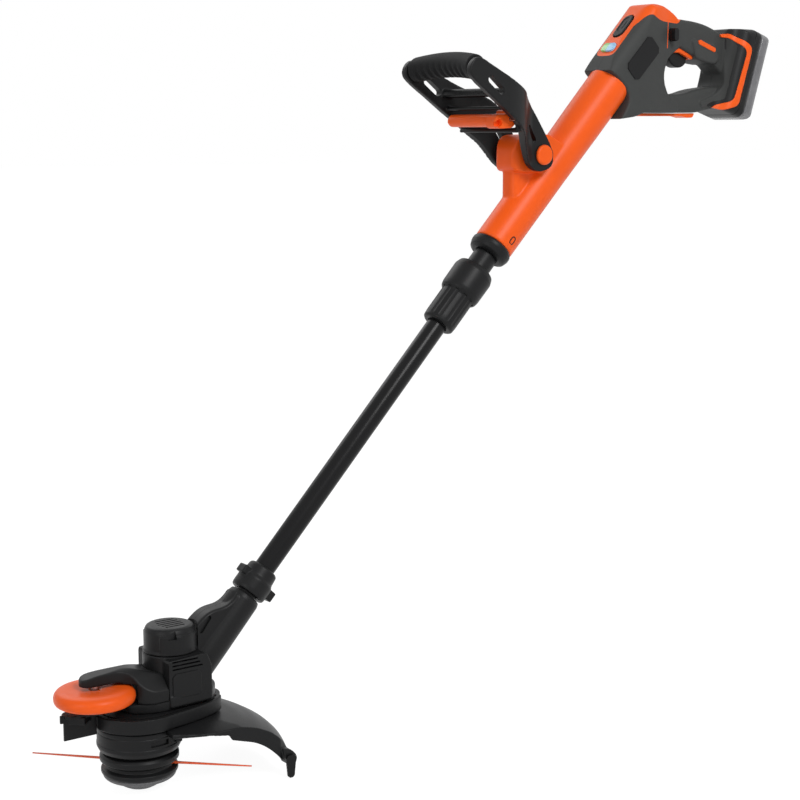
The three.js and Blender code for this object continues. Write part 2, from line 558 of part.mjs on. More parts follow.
// Places a solid drawn with z along the battery and x away from the handle
const onBattery = (body) => moved(body, BATTERY);
const footOutline = () => rounded([[886, 849], [894, 849, 4], [909.5, 829, 6], [888.5, 763.5, 6],
  [842, 755, 4], [840, 762, 3], [866, 770, 6], [880, 784, 8], [882, 810]]);
const coverOutline = () => rounded([[676, 811], [678, 815], [691, 825.5, 6], [709, 845, 8], [727, 864, 8],
  [748, 871, 8], [771, 868, 6], [783, 861, 4], [796, 862, 4], [806, 869], [806, 910], [660, 910],
  [660, 811]]);
const bodyOutline = () => rounded([...boundary, [684, 815], [706, 842, 8], [742, 880, 10], [754, 886, 10],
  [793, 878, 10], [803, 868, 3], [806, 834, 8], [779, 816, 8], [768, 791, 16], [785, 765, 10],
  [800, 760, 6], [800, 746.4], [731, 746.5, 4], [716, 741, 6]]);
const gripOutline = () => rounded([[780, 869], [803, 867.5, 6], [835, 865, 14], [858, 860, 14],
  [886, 849, 6], [898, 846], [894, 800], [884, 795, 10], [873, 806, 8], [866, 811, 6], [848, 813, 4],
  [832, 819, 4], [799, 832.5, 6], [780, 826]]);
const bumpOutline = () => rounded([[821, 842, 6], [864, 838, 6], [874, 816, 6], [866, 810.5, 4],
  [848, 812.5, 4], [829, 817, 6]]);
const strutOutline = () => rounded([[770, 771], [812, 771, 10], [838, 778, 12], [890, 784], [890, 756],
  [838, 747, 6], [770, 746.5]]);
const postOutline = () => rounded([[883, 848], [896, 846], [888, 764], [870, 757], [870, 773, 6],
  [883, 787, 4]]);
// The rear housing's cross-section is a pillow: rounded along the sloping top, and along its length
function pillow(grow) {
  const half = BODY_HALF + grow;
  const slope = onShaft(raised(rounded([[-29.6 - grow, -half, 18], [140, -half], [140, half],
    [-29.6 - grow, half, 18]]),
    640, 1120, 0));
  const section = rounded([[-half, 700], [-half, 886.5 + grow, 16], [half, 886.5 + grow, 16],
    [half, 700]]);
  const level = moved(raised(section, 600, 960), new THREE.Matrix4().makeBasis(
    new THREE.Vector3(0, 1, 0), new THREE.Vector3(0, 0, 1), new THREE.Vector3(1, 0, 0)));
  return clip(slope, level);
}
// The battery foot flares from the post's width to the battery's, seen along the mating line
function flare(grow) {
  const narrow = 20 + grow;
  const wide = DOCK_HALF + grow;
  return onBattery(raised(rounded([[-90, -narrow], [-25, -narrow, 4], [-10, -wide, 4], [60, -wide],
    [60, wide], [-10, wide, 4], [-25, narrow, 4], [-90, narrow]]), -90, 90));
}
// The outer form, or a slightly larger one to cut its neighbours clear of it
function housingSolid(grow = 0) {
  const part = (outline, half, edge) => slab(outline, -half - grow, half + grow, edge, 4, grow);
  return join(clip(part(bodyOutline(), BODY_HALF, 6), pillow(grow)), part(gripOutline(), GRIP_HALF, 7),
    part(bumpOutline(), 22, 4), part(strutOutline(), 17, 6), part(postOutline(), 20, 3),
    clip(part(footOutline(), DOCK_HALF - 0.1, 0), flare(grow)));
}
function housingHollows() {
  const triggerSlot = box(788.5, 826, -8.6, 8.6, 815, 836);
  const switchBay = box(790, 838, -10.5, 10.5, 836, 857);
  const boardBay = box(716, 764, -14, 14, 790, 846);
  const lockHole = slab(stadium(783, 846.5, 17 + 2 * GAP, 8 + 2 * GAP, 90), -50, 50, 0, 3);
  const buttonHole = onSlope(raised(stadium(0, 0, BUTTON_LENGTH + 2 * GAP, 17 + 2 * GAP), -9, 12));
  const windowSeat = onSlope(raised(rounded([[-43, -10.3, 4], [-30, -10.3, 4], [-30, 10.3, 4],
    [-43, 10.3, 4]]),
    -3.3, 12));
  const dockBay = box(889, 912, -15, 15, 783, 812);
  const trimSeat = slab(trimOutline(), -13.5 - GAP, 13.5 + GAP, 0, 5, GAP);
  return [triggerSlot, switchBay, boardBay, lockHole, buttonHole, windowSeat, dockBay, railGrooves(),
    trimSeat];
}
const BUTTON_LENGTH = 38;
// The sloping face that carries the power button and the lamp window
const SLOPE = new THREE.Matrix4().makeTranslation(718, 0, 854.7)
  .multiply(new THREE.Matrix4().makeRotationY(deg(-46.5)));
const onSlope = (body) => moved(body, SLOPE);
const topCover = () => cut(clip(housingSolid(), slab(coverOutline(), -60, 60, 0, 6)),
  ...housingHollows());
function casing() {
  const inlays = [-1, 1].map((s) => slab(inlayOutline(), s * 21.5 - 1.8, s * 21.5 + 1.8, 0, 4, GAP));
  return cut(housingSolid(), slab(coverOutline(), -60, 60, 0, 6, GAP), ...housingHollows(),
    ...inlays, stripeSeats());
}
const inlayOutline = () => stadium(847, 833.5, 33, 4.6, -19);
const gripInlay = (side) => slab(inlayOutline(), side > 0 ? 20.2 : -22.8, side > 0 ? 22.8 : -20.2, 0, 4);
// The bright stripe follows the battery foot's edge on each side and widens to a wedge below
const stripeOutline = () => rounded([[884, 851], [894, 851.5, 4], [920.5, 833, 6], [896.5, 756, 6],
  [832, 747], [832, 754.5], [889, 763, 6], [910, 829, 6], [894, 845.5, 3], [884, 846]]);
const STRIPE_DEPTH = 3.6;
const stripeSeats = () => cut(slab(stripeOutline(), -60, 60, 0, 4, GAP), flare(-STRIPE_DEPTH - GAP));
function dockStripe(side) {
  const ribbon = slab(stripeOutline(), side > 0 ? 10 : -60, side > 0 ? 60 : -10, 0, 4);
  return cut(clip(ribbon, flare(0.9)), flare(-STRIPE_DEPTH));
}
function dock() {
  const outline = rounded([[887, 849.5], [893, 849.5], [902, 858, 8], [929.5, 858, 3], [892.6, 739, 3],
    [862, 739, 6], [848, 746.5, 3], [845, 756.5], [867, 767], [882.5, 783], [885, 810]]);
  const block = clip(slab(outline, -DOCK_HALF, DOCK_HALF, 0), flare(0));
  const bay = box(889, 925, -15, 15, 783, 812);
  return cut(block, housingSolid(GAP), stripeSeats(), bay, railGrooves());
}
// The battery's rails slide in this channel
const railGrooves = () => onBattery(join(box(-1.6, 2.6, -27, 27, -44, 90),
  box(2.5, 20, -12.6, 12.6, -44, 90)));
const bottomTrim = () => slab(rounded([[734, 745.9], [800, 745.9], [838, 746.4], [837, 741.5, 2],
  [830, 739.5, 4], [814, 742.5], [738, 742, 3]]), -11, 11);
// The trim arches over the trigger, half sunk in the grip's underside
const trimOutline = () => rounded([[785, 827.8, 2], [799, 833.8, 8], [832, 821, 2], [830, 815.5, 2],
  [799, 827.3, 8], [787, 821, 2]]);
const triggerTrim = () => cut(slab(trimOutline(), -13.5, 13.5, 1), box(780, 827.6, -8.9, 8.9, 800, 840));
const trigger = () => slab(rounded([[789.5, 833], [824.5, 833], [825, 819, 2], [822.5, 811.5, 5],
  [813, 805.5, 7], [800, 812, 8], [791, 818, 4]]), -8, 8, 1.5, 5);
const lockButton = () => slab(stadium(783, 846.5, 17, 8, 90), -30.8, 30.8, 0, 3);
const powerButton = () => onSlope(raised(stadium(0, 0, BUTTON_LENGTH, 17), -6, 2.2, 1.2));
const lampWindow = () => onSlope(raised(rounded([[-42.7, -10, 4], [-30.3, -10, 4], [-30.3, 10, 4],
  [-42.7, 10, 4]]),
  -3, 0.8, 0.5));
const rearBadge = () => slab(rounded([[-29, -14, 5], [29, -14, 5], [29, 14, 5], [-29, 14, 5]]
  .map(([x, z, r]) => [724.8 + (x - z) * Math.SQRT1_2, 815 + (x + z) * Math.SQRT1_2, r])), -30.2, -29.05);
// What the housing holds
const switchBody = () => box(800, 834, -9, 9, 838.5, 854);
const controlBoard = () => join(box(722, 758, -12, 12, 800, 802), box(728, 744, -10, 10, 801.5, 818),
  box(748, 756, -5, 5, 801.5, 810));
const terminalBlock = () => join(box(892, 903, -10, 10, 787, 808), box(902, 904.8, -9, -7, 790, 806),
  box(902, 904.8, 7, 9, 790, 806));

// Battery
const packOutline = (v0, v1, r) => rounded([[v0, -50], [v1, -50, r], [v1, 64, r], [v0, 64]]);
function packPlan(v0, v1, inset) {
  const w = DOCK_HALF - inset;
  return rounded([[v0, -w, 1], [v1 - 1, -w, 7], [v1 - inset, -w + 8, 4], [v1 - inset, w - 8, 4],
    [v1 - 1, w, 7], [v0, w, 1]]);
}
function packShell() {
  const shell = clip(raised(packPlan(5.3, 17, 0), -50, 64, 0, 5), slab(packOutline(5.3, 17, 0.5),
    -60, 60));
  const hollow = box(8.5, 30, -33, 33, -46, 61);
  const rails = join(box(-1, 6, -12, 12, -43.5, 50), box(-1, 2, -26.5, 26.5, -43.5, 50));
  return onBattery(cut(join(shell, cut(rails, box(-3, 1.5, -10.5, 10.5, -60, 30))), hollow));
}
function packEnd() {
  const shell = clip(raised(packPlan(17.3, 34, 0), -50, 64, 0, 5), slab(packOutline(16, 34, 9), -60, 60));
  return onBattery(cut(shell, box(10, 31, -33, 33, -46, 61), box(24, 40, -11.3, 11.3, 52, 70)));
}
// Five cells side by side in one wrapped block
function packCells() {
  const cells = [];
  for (let i = 0; i < 5; i++) {
    cells.push(shifted(onSide(rod(9.1, -32.3, 32.3, 12)), 19.8, 0, -36.5 + 18 * i));
  }
  return onBattery(join(...cells));
}
const packButton = () => onBattery(raised(rounded([[24.3, -11, 1], [33.4, -11, 2], [33.4, 11, 2],
  [24.3, 11, 1]]),
  54, 65.5, 1));

// Assembly: one group for each body that moves, each piece a mesh with its own finish
function mesh(name, body, material) {
  const { vertProperties, triVerts } = body.getMesh();
  const geometry = new THREE.BufferGeometry();
  geometry.setAttribute("position", new THREE.BufferAttribute(vertProperties, 3));
  geometry.setIndex(new THREE.BufferAttribute(triVerts, 1));
  geometry.computeVertexNormals();
  const piece = new THREE.Mesh(geometry, material.clone());
  piece.name = name;
  return piece;
}
function body(name, pieces) {
  const group = new THREE.Group();
  group.name = name;
  for (const [piece, made, material] of pieces) group.add(mesh(piece, made, material));
  return group;
}

const headShell = headCasing();
const rearShell = casing();

const spool = body("spool_body", [
  ["bump_cap", bumpCap(), GREY],
  ["spool", spoolBody(), BLACK],
  ["line_winding", lineWinding(), ORANGE],
  ["line_tail_left", lineTail(0), ORANGE],
  ["line_tail_right", lineTail(1), ORANGE],
  ["spindle", spindle(), STEEL],
  ["spool_gear", gear(SPOOL_TEETH, 82, 89, 4 + GAP), BRASS],
]);
const rotor = body("rotor_body", [
  ["motor_rotor", motorRotor(), COPPER],
  ["motor_pinion", atMotor(gear(PINION_TEETH, 81.5, 89.5, 3 + GAP)), STEEL],
]);
const wheel = body("wheel_body", [["edge_wheel", edgeWheel(), ORANGE]]);
const head = body("head_body", [
  ["head_casing_left", leftHalf(headShell), BLACK],
  ["head_casing_right", rightHalf(headShell), BLACK],
  ["motor_cap", motorCap(), BLACK],
  ["motor_can", motorCan(), STEEL],
  ["head_badge", headBadge(), GREY],
  ["wheel_arm", wheelArm(), BLACK],
  ["wheel_axle", wheelAxle(), STEEL],
  ["wheel_fin", wheelFin(), BLACK],
  ["mount_plate", mountPlate(), BLACK],
  ["spool_drum", spoolDrum(), BLACK],
  ["guard", guardShell(), BLACK],
  ["cutter_blade", cutterBlade(), STEEL],
]);
head.add(spool, rotor, wheel);
const lowerShaft = body("lower_shaft", [["lower_tube", lowerTube(), BLACK]]);
const collar = body("collar_body", [["swivel_collar", swivelCollar(), BLACK]]);
lowerShaft.add(head, collar);
const clamp = body("clamp_body", [["clamp_nut", clampNut(), BLACK]]);
const lever = body("lever_body", [["handle_lever", handleLever(), ORANGE]]);
const handle = body("handle_body", [
  ["handle_frame", handleFrame(), BLACK],
  ["handle_grip", handleGrip(), RUBBER],
  ["pivot_bolt", pivotBolt(), STEEL],
  ["pivot_cap_left", pivotCap(-1), ORANGE],
  ["pivot_cap_right", pivotCap(1), ORANGE],
  ["lever_pin", leverPin(), STEEL],
]);
handle.add(lever);
const battery = body("battery_body", [
  ["pack_shell", packShell(), BLACK],
  ["pack_end", packEnd(), SMOKED],
  ["pack_cells", packCells(), GREY],
]);
battery.add(body("pack_button_body", [["pack_button", packButton(), BLACK]]));

const trimmer = body("string_trimmer", [
  ["upper_tube", upperTube(), ORANGE],
  ["tube_bezel", bezel(), BLACK],
  ["clamp_sleeve", collet(), BLACK],
  ["rear_housing_left", leftHalf(rearShell), GREY],
  ["rear_housing_right", rightHalf(rearShell), GREY],
  ["top_cover", topCover(), ORANGE],
  ["bottom_trim", bottomTrim(), ORANGE],
  ["trigger_trim", triggerTrim(), ORANGE],
  ["grip_inlay_left", gripInlay(-1), ORANGE],
  ["grip_inlay_right", gripInlay(1), ORANGE],
  ["lamp_window", lampWindow(), LAMP],
  ["rear_badge", rearBadge(), BLACK],
  ["battery_dock", dock(), BLACK],
  ["dock_stripe_left", dockStripe(-1), ORANGE],
  ["dock_stripe_right", dockStripe(1), ORANGE],
  ["switch_body", switchBody(), BLACK],
  ["control_board", controlBoard(), LAMP],
  ["terminal_block", terminalBlock(), BRASS],
]);
trimmer.add(
  lowerShaft, clamp, handle, battery,
  body("trigger_body", [["trigger", trigger(), BLACK]]),
  body("lock_body", [["lock_button", lockButton(), BLACK]]),
  body("power_body", [["power_button", powerButton(), BLACK]]),
);

export default trimmer;
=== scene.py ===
import json
import math

import bmesh
import bpy
from mathutils import Matrix, Vector


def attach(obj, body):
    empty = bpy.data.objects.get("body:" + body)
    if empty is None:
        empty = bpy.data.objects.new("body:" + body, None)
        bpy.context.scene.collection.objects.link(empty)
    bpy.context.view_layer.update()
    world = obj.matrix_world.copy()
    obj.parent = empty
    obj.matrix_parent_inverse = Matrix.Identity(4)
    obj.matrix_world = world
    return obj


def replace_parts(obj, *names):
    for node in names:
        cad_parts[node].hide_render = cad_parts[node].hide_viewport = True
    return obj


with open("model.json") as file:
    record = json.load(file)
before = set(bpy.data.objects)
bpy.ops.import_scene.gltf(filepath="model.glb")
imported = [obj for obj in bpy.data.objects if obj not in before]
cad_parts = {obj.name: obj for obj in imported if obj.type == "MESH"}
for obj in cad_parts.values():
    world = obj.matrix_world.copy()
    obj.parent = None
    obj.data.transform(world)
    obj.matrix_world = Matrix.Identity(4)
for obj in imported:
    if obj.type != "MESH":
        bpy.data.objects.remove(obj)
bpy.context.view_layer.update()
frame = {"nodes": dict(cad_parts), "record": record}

bl_info = {
    "name": "String Trimmer",
    "version": (1, 0, 0),
    "blender": (4, 5, 0),
    "location": "3D View > Sidebar > Trimmer",
    "description": "Dresses a cordless string trimmer: mouldings, shaft, handle, battery, spool, line and stage",
    "category": "Add Mesh",
}

MM = 0.001


def shift(x, y, z):
    """A move in millimetres"""
    return Matrix.Translation(Vector((x, y, z)) * MM)


def turn(degrees, axis):
    return Matrix.Rotation(math.radians(degrees), 4, axis)


SHAFT_TILT = 90 - 46.75             # how far the shaft leans back from upright, in degrees
ON_SHAFT = shift(178.8, 0, 238.4) @ turn(SHAFT_TILT, "Y")
ON_PACK = shift(906, 0, 797) @ turn(17.4, "Y")
ON_SLOPE = shift(716.6, 0, 856.1) @ turn(-46.5, "Y")
AT_PIVOT = shift(553, 0, 694)
AT_PIN = AT_PIVOT @ shift(-66, 0, 43)
AT_MOTOR = shift(41.25, 0, 0)
AT_WHEEL = shift(-52.5, 0, 0)
ACROSS = turn(-90, "X")             # stands a form on its side
ALONG = Matrix(((0, 0, 1, 0), (1, 0, 0, 0), (0, 1, 0, 0), (0, 0, 0, 1)))    # an outline (y, z) drawn out along x
BOLT_BORE, PIN_BORE = 5.3, 2.8
TUBE_BORE = 12.8                    # round the lower tube
LINE_UP = 30                        # how high the cutting line leaves the spool
LINE_ENDS = {"line_tail_left": (133, 126.5), "line_tail_right": (-44, 127.5)}   # its direction and reach
SMOOTH_LIMIT = math.radians(38)     # an edge that turns more than this stays crisp
RIM_STEPS = 4
BODY_OF = {node: body for body, nodes in frame["record"]["behaviour"]["bodies"].items() for node in nodes}
SLOT_OF = {row["node"]: row["material_slot"] for row in frame["record"]["subparts"]}


class Value:
    """A node's output that can be used in Python arithmetic"""

    def __init__(self, nodes, socket):
        self.nodes = nodes
        self.socket = socket

    def _with(self, operation, first, second):
        return self.nodes.node("Math", {"operation": operation}, {0: first, 1: second})

    def __add__(self, other):
        return self._with("ADD", self, other)

    def __sub__(self, other):
        return self._with("SUBTRACT", self, other)

    def __rsub__(self, other):
        return self._with("SUBTRACT", other, self)

    def __mul__(self, other):
        return self._with("MULTIPLY", self, other)

    __radd__ = __add__
    __rmul__ = __mul__

    def most(self, other):
        return self._with("MAXIMUM", self, other)


class Nodes:
    """A node tree with a method that adds any node"""

    def __init__(self, tree):
        self.tree = tree

    def feed(self, socket, value):
        if isinstance(value, Value):
            self.tree.links.new(value.socket, socket)
        elif socket.type == "RGBA" and len(value) == 3:
            socket.default_value = (*value, 1)
        else:
            socket.default_value = value

    def node(self, kind, settings=None, inputs=None, output=0):
        made = self.tree.nodes.new("ShaderNode" + kind)
        for key, value in (settings or {}).items():
            setattr(made, key, value)
        for key, value in (inputs or {}).items():
            self.feed(made.inputs[key], value)
        return Value(self, made.outputs[output])

    def background_seen(self):
        """1 for the rays that meet the background straight, in a gloss or through something clear"""
        seen, gloss, clear = (self.node("LightPath", output="Is %s Ray" % ray)
            for ray in ("Camera", "Glossy", "Transmission"))
        return seen.most(gloss).most(clear)


class Finish(Nodes):
    """One material, with its shader"""

    def __init__(self, name, **constants):
        self.name = name
        self.material = bpy.data.materials.new(name)
        self.material.use_nodes = True
        super().__init__(self.material.node_tree)
        self.shader = self.tree.nodes["Principled BSDF"]
        for socket, value in constants.items():
            self.shader.inputs[socket.replace("_", " ").title().replace("Ior", "IOR")].default_value = value
        self.place = self.node("TexCoord", output="Object")

    def set(self, socket, value):
        self.feed(self.shader.inputs[socket], value)

    def along(self, axis):
        return self.node("SeparateXYZ", None, {0: self.place}, output=axis)

    def noise(self, scale, detail=2.0, roughness=0.5, place=None):
        return self.node("TexNoise", None, {"Vector": place or self.place, "Scale": scale, "Detail": detail,
            "Roughness": roughness})

    def ramp(self, factor, low, high, to_low=0.0, to_high=1.0):
        return self.node("MapRange", {"clamp": True}, {"Value": factor, "From Min": low, "From Max": high,
            "To Min": to_low, "To Max": to_high})

    def mix(self, factor, first, second):
        return self.node("Mix", {"data_type": "RGBA"}, {0: factor, 6: first, 7: second}, output=2)

    def bump(self, height, distance, strength=0.5):
        self.set("Normal", self.node("Bump", None, {"Height": height, "Distance": distance, "Strength": strength}))


# Sizes and colours that a user may change

class TrimmerSizes(bpy.types.PropertyGroup):
    """Sizes of the fine forms"""

    grain: bpy.props.FloatProperty(name="Grain", description="Size of the mouldings' surface grain",
        default=0.0005, unit="LENGTH")
    line_width: bpy.props.FloatProperty(name="Line", description="Thickness of the cutting line",
        default=0.0024, unit="LENGTH")
    flutes: bpy.props.IntProperty(name="Flutes", description="How many flutes the clamp nut has",
        default=12, min=3)


def colour(name, description, default):
    return bpy.props.FloatVectorProperty(name=name, description=description, subtype="COLOR", default=default,
        min=0, max=1)


class TrimmerColours(bpy.types.PropertyGroup):
    """Colours of the finishes"""

    orange: colour("Orange", "Bright mouldings", (0.98, 0.118, 0.010))
    charcoal: colour("Charcoal", "Rear housing", (0.053, 0.055, 0.054))
    black: colour("Black", "Black mouldings", (0.0100, 0.0102, 0.0107))
    cap: colour("Cap", "Cap under the spool", (0.17, 0.17, 0.175))


# Finishes

def times(colour, factor):
    """A colour made darker or lighter"""
    return tuple(min(1.0, part * factor) for part in colour)


def moulding(name, colour, roughness, grain_depth, shine=0.5, tones=None):
    """A moulded plastic with a fine grain and a slightly uneven gloss, in one tone or in those of a function"""
    finish = Finish(name, roughness=roughness, specular_ior_level=shine)
    cloud = finish.noise(35, 3)
    grain = finish.noise(1 / bpy.context.scene.trimmer_sizes.grain, 1)
    plain = finish.mix(cloud, times(colour, 0.93), times(colour, 1.05))
    finish.set("Base Color", tones(finish, plain) if tones else plain)
    finish.set("Roughness", cloud * 0.08 + (roughness - 0.04) + grain * 0.04)
    finish.bump(grain, grain_depth, 0.6)
    return finish


def grey_tones_and_painted_shade(finish, plain):
    """Paler on the cap that bumps along the ground, and darker towards the battery, where shade is painted on the foot
    and the dock
    """
    colours = bpy.context.scene.trimmer_colours
    low = finish.ramp(finish.along("Z"), 0.0193, 0.0195, 1.0, 0.0)
    # painted shade: from x 0.862 to 0.892 m the charcoal fades to half its colour over the foot and the dock
    rear = finish.ramp(finish.along("X"), 0.862, 0.892)
    return finish.mix(low, finish.mix(rear, plain, times(colours.charcoal, 0.5)), tuple(colours.cap))


def coated_tube():
    """Black coated tube with faint lengthwise draw marks"""
    finish = Finish("black_tube", roughness=0.3, specular_ior_level=0.14)
    drawn_out = finish.node("Mapping", {"vector_type": "POINT"}, {"Vector": finish.place,
        "Rotation": (0, -math.radians(SHAFT_TILT), 0), "Scale": (900, 900, 12)})
    marks = finish.noise(1.0, 2, 0.6, drawn_out)
    cloud = finish.noise(28, 3)
    finish.set("Base Color", finish.mix(cloud, (0.007, 0.007, 0.0075), (0.010, 0.010, 0.0105)))
    finish.set("Roughness", marks * 0.1 + 0.2)
    finish.bump(marks, 0.00002)
    return finish


def nylon():
    """Twisted orange nylon, a little paler where it is worn"""
    finish = Finish("orange_nylon", roughness=0.35)
    cloud = finish.noise(220)
    finish.set("Base Color", finish.mix(cloud, (0.75, 0.075, 0.012), (1.0, 0.16, 0.045)))
    finish.set("Roughness", cloud * 0.2 + 0.3)
    finish.bump(cloud, 0.0001, 0.4)
    return finish


def smoked():
    """Clear smoked moulding of the battery's end"""
    finish = Finish("smoked_plastic", roughness=0.2, ior=1.5)
    cloud = finish.noise(60)
    finish.set("Base Color", finish.mix(cloud, (0.18, 0.18, 0.19), (0.24, 0.24, 0.25)))
    finish.set("Roughness", cloud * 0.1 + 0.14)
    finish.set("Alpha", cloud * 0.1 + 0.72)
    return finish


def metal(name, colour, roughness):
    """Turned or drawn metal with fine marks"""
    finish = Finish(name, metallic=1.0, roughness=roughness)
    marks = finish.noise(1500)
    finish.set("Base Color", finish.mix(marks, times(colour, 0.85), colour))
    finish.set("Roughness", marks * 0.15 + roughness - 0.07)
    finish.bump(marks, 0.00001)
    return finish


def lens():
    """Tinted lamp lens, green at the left and blue at the right"""
    finish = Finish("lamp_plastic", roughness=0.12)
    side = finish.ramp(finish.along("Y"), -0.0015, 0.0025)
    finish.set("Base Color", finish.mix(side, (0.32, 0.62, 0.90), (0.30, 0.66, 0.20)))
    finish.set("Roughness", finish.noise(300, 1) * 0.1 + 0.08)
    return finish


FINISHES = {}


def finish_of(slot):
    """The material of a slot. The first call makes them all"""
    if not FINISHES:
        colours = bpy.context.scene.trimmer_colours
        for finish in (
            moulding("orange_plastic", colours.orange, 0.36, 0.00001, 0.22),
            nylon(),
            moulding("black_plastic", colours.black, 0.38, 0.00004, 0.16),
            moulding("grey_plastic", colours.charcoal, 0.55, 0.00006, 0.16, grey_tones_and_painted_shade),
            moulding("grip_rubber", times(colours.black, 1.1), 0.62, 0.00006, 0.12),
            coated_tube(), smoked(), lens(),
            moulding("board", (0.03, 0.2, 0.09), 0.4, 0.00002),
            metal("steel", (0.48, 0.49, 0.5), 0.32),
            metal("brass", (0.58, 0.36, 0.09), 0.3),
            metal("rotor_iron", (0.3, 0.2, 0.14), 0.45),
        ):
            FINISHES[finish.name] = finish.material
    return FINISHES[slot]


# Modelling

def as_object(name, bm):
    """Puts a bmesh on a new object of that name"""
    mesh = bpy.data.meshes.new(name)
    bm.to_mesh(mesh)
    bm.free()
    thing = bpy.data.objects.new(name, mesh)
    bpy.context.scene.collection.objects.link(thing)
    return thing


def placed(bm, place=None):
    """Turns millimetres on a local frame into metres on the part's frame"""
    bmesh.ops.transform(bm, matrix=(place or Matrix.Identity(4)) @ Matrix.Scale(MM, 4), verts=bm.verts)
    return bm


class Form:
    """A closed form that can be joined with another (+), cut by it (-) or clipped to it (&)"""

    def __init__(self, bm):
        self.thing = as_object("form", bm)

    def _applied(self):
        """Turns the form's modifiers into its mesh"""
        bpy.context.view_layer.update()
        graph = bpy.context.evaluated_depsgraph_get()
        mesh = bpy.data.meshes.new_from_object(self.thing.evaluated_get(graph))
        old = self.thing.data
        self.thing.modifiers.clear()
        self.thing.data = mesh
        bpy.data.meshes.remove(old)
        return self

    def _with(self, operation, other):
        cut = self.thing.modifiers.new("cut", "BOOLEAN")
        cut.operation = operation
        cut.solver = "MANIFOLD"
        cut.object = other.thing
        self._applied()
        bpy.data.objects.remove(other.thing)
        return self

    def __add__(self, other):
        return self._with("UNION", other)

    def __sub__(self, other):
        return self._with("DIFFERENCE", other)

    def __and__(self, other):
        return self._with("INTERSECT", other)

    def copied(self):
        bm = bmesh.new()
        bm.from_mesh(self.thing.data)
        return Form(bm)

    def melted(self, voxel, rounds):
        """Melts its surface into one skin and rounds the edges"""
        melt = self.thing.modifiers.new("melt", "REMESH")
        melt.mode = "VOXEL"
        melt.voxel_size = voxel * MM
        soften = self.thing.modifiers.new("soften", "SMOOTH")
        soften.factor = 0.5
        soften.iterations = rounds
        return self._applied()

    def shown(self, name, body, slot):
        """Shows the form as a piece that rides on a body, smooth but for the edges that turn sharply"""
        thing = self.thing
        thing.name = thing.data.name = name
        thing.data.materials.clear()
        thing.data.materials.append(finish_of(slot))
        bm = bmesh.new()
        bm.from_mesh(thing.data)
        for face in bm.faces:
            face.smooth = True
        for edge in bm.edges:
            edge.smooth = len(edge.link_faces) == 2 and edge.calc_face_angle(0) < SMOOTH_LIMIT
        bm.to_mesh(thing.data)
        bm.free()
        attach(thing, body)
        return thing

    def stands_for(self, node, word="moulding", side=""):
        """Shows the form in place of a CAD node, with that node's finish and body"""
        name = f"{node}_{word}{side}"
        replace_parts(self.shown(name, BODY_OF[node + side], SLOT_OF[node + side]), node + side)


def spun(profile, steps=96, place=None):
    """A solid of revolution about Z from (radius, height) pairs in millimetres"""
    bm = bmesh.new()
    points = [bm.verts.new((r, 0, z)) for r, z in profile]
    edges = [bm.edges.new(pair) for pair in zip(points, points[1:])]
    bmesh.ops.spin(bm, geom=points + edges, cent=(0, 0, 0), axis=(0, 0, 1), angle=2 * math.pi, steps=steps,
        use_merge=True)
    bmesh.ops.remove_doubles(bm, verts=bm.verts, dist=1e-4)
    bmesh.ops.recalc_face_normals(bm, faces=bm.faces)
    return placed(bm, place)


def turned(profile, steps=96, place=None):
    return Form(spun(profile, steps, place))


def rod(radius, low, high, place=None, steps=48):
    return turned([(0, low), (radius, low), (radius, high), (0, high)], steps, place)


def drawn(outline, low, high, edge, place, upright):
    """An outline drawn out between two levels, with its rims rounded, in millimetres"""
    bm = bmesh.new()
    face = bm.faces.new([bm.verts.new((a, low, b) if upright else (a, b, low)) for a, b in outline])
    made = bmesh.ops.extrude_face_region(bm, geom=[face], use_keep_orig=True)
    moved = [v for v in made["geom"] if isinstance(v, bmesh.types.BMVert)]
    bmesh.ops.translate(bm, vec=(0, high - low, 0) if upright else (0, 0, high - low), verts=moved)
    bmesh.ops.recalc_face_normals(bm, faces=bm.faces)
    if edge:
        rims = dict.fromkeys(e for f in bm.faces if len(f.verts) == len(outline) for e in f.edges)
        bmesh.ops.bevel(bm, geom=list(rims), offset=edge, segments=RIM_STEPS, profile=0.5, material=-1,
            affect="EDGES")
    return Form(placed(bm, place))


def slab(outline, low, high, edge=0.0, place=None):
    """A side outline (x, z) as thick as two y levels"""
    return drawn(outline, low, high, edge, place, True)


def raised(outline, low, high, edge=0.0, place=None):
    """A plan outline (x, y) raised between two z levels"""
    return drawn(outline, low, high, edge, place, False)


def block(x0, x1, y0, y1, z0, z1, place=None):
    return raised([(x0, y0), (x1, y0), (x1, y1), (x0, y1)], z0, z1, place=place)


def stand_for_halves(form, node, gap=0.15, far=1200):
    """Splits a casing in its symmetry plane, for the nodes of its left and right halves"""
    (form.copied() & block(-far, far, -far, -gap, -far, far)).stands_for(node + "_left")
    (form & block(-far, far, gap, far, -far, far)).stands_for(node + "_right")


def from_node(node):
    """A merged copy of a CAD node's mesh"""
    bm = bmesh.new()
    bm.from_mesh(frame["nodes"][node].data)
    bmesh.ops.remove_doubles(bm, verts=bm.verts, dist=2e-6)
    return Form(bm)


# Outlines, in millimetres

def bend(first, control, last, count):
    """Points on a curve that a control point pulls, with both its ends"""
    return [first * (1 - t) ** 2 + control * 2 * t * (1 - t) + last * t * t
        for t in (k / count for k in range(count + 1))]


def corner(before, at, after, radius, steps):
    """A corner rounded by a radius"""
    start, end = (at + (other - at).normalized() * min(radius, (other - at).length / 2.05)
        for other in (before, after))
    return bend(start, at, end, steps)


def curved(start, *steps, count=12):
    """An outline of straight lines (x, y) and bends (control x, control y, x, y)"""
    outline = [Vector(start)]
    for step in steps:
        outline += [Vector(step)] if len(step) == 2 else bend(
            outline[-1], Vector(step[:2]), Vector(step[2:]), count)[1:]
    return outline


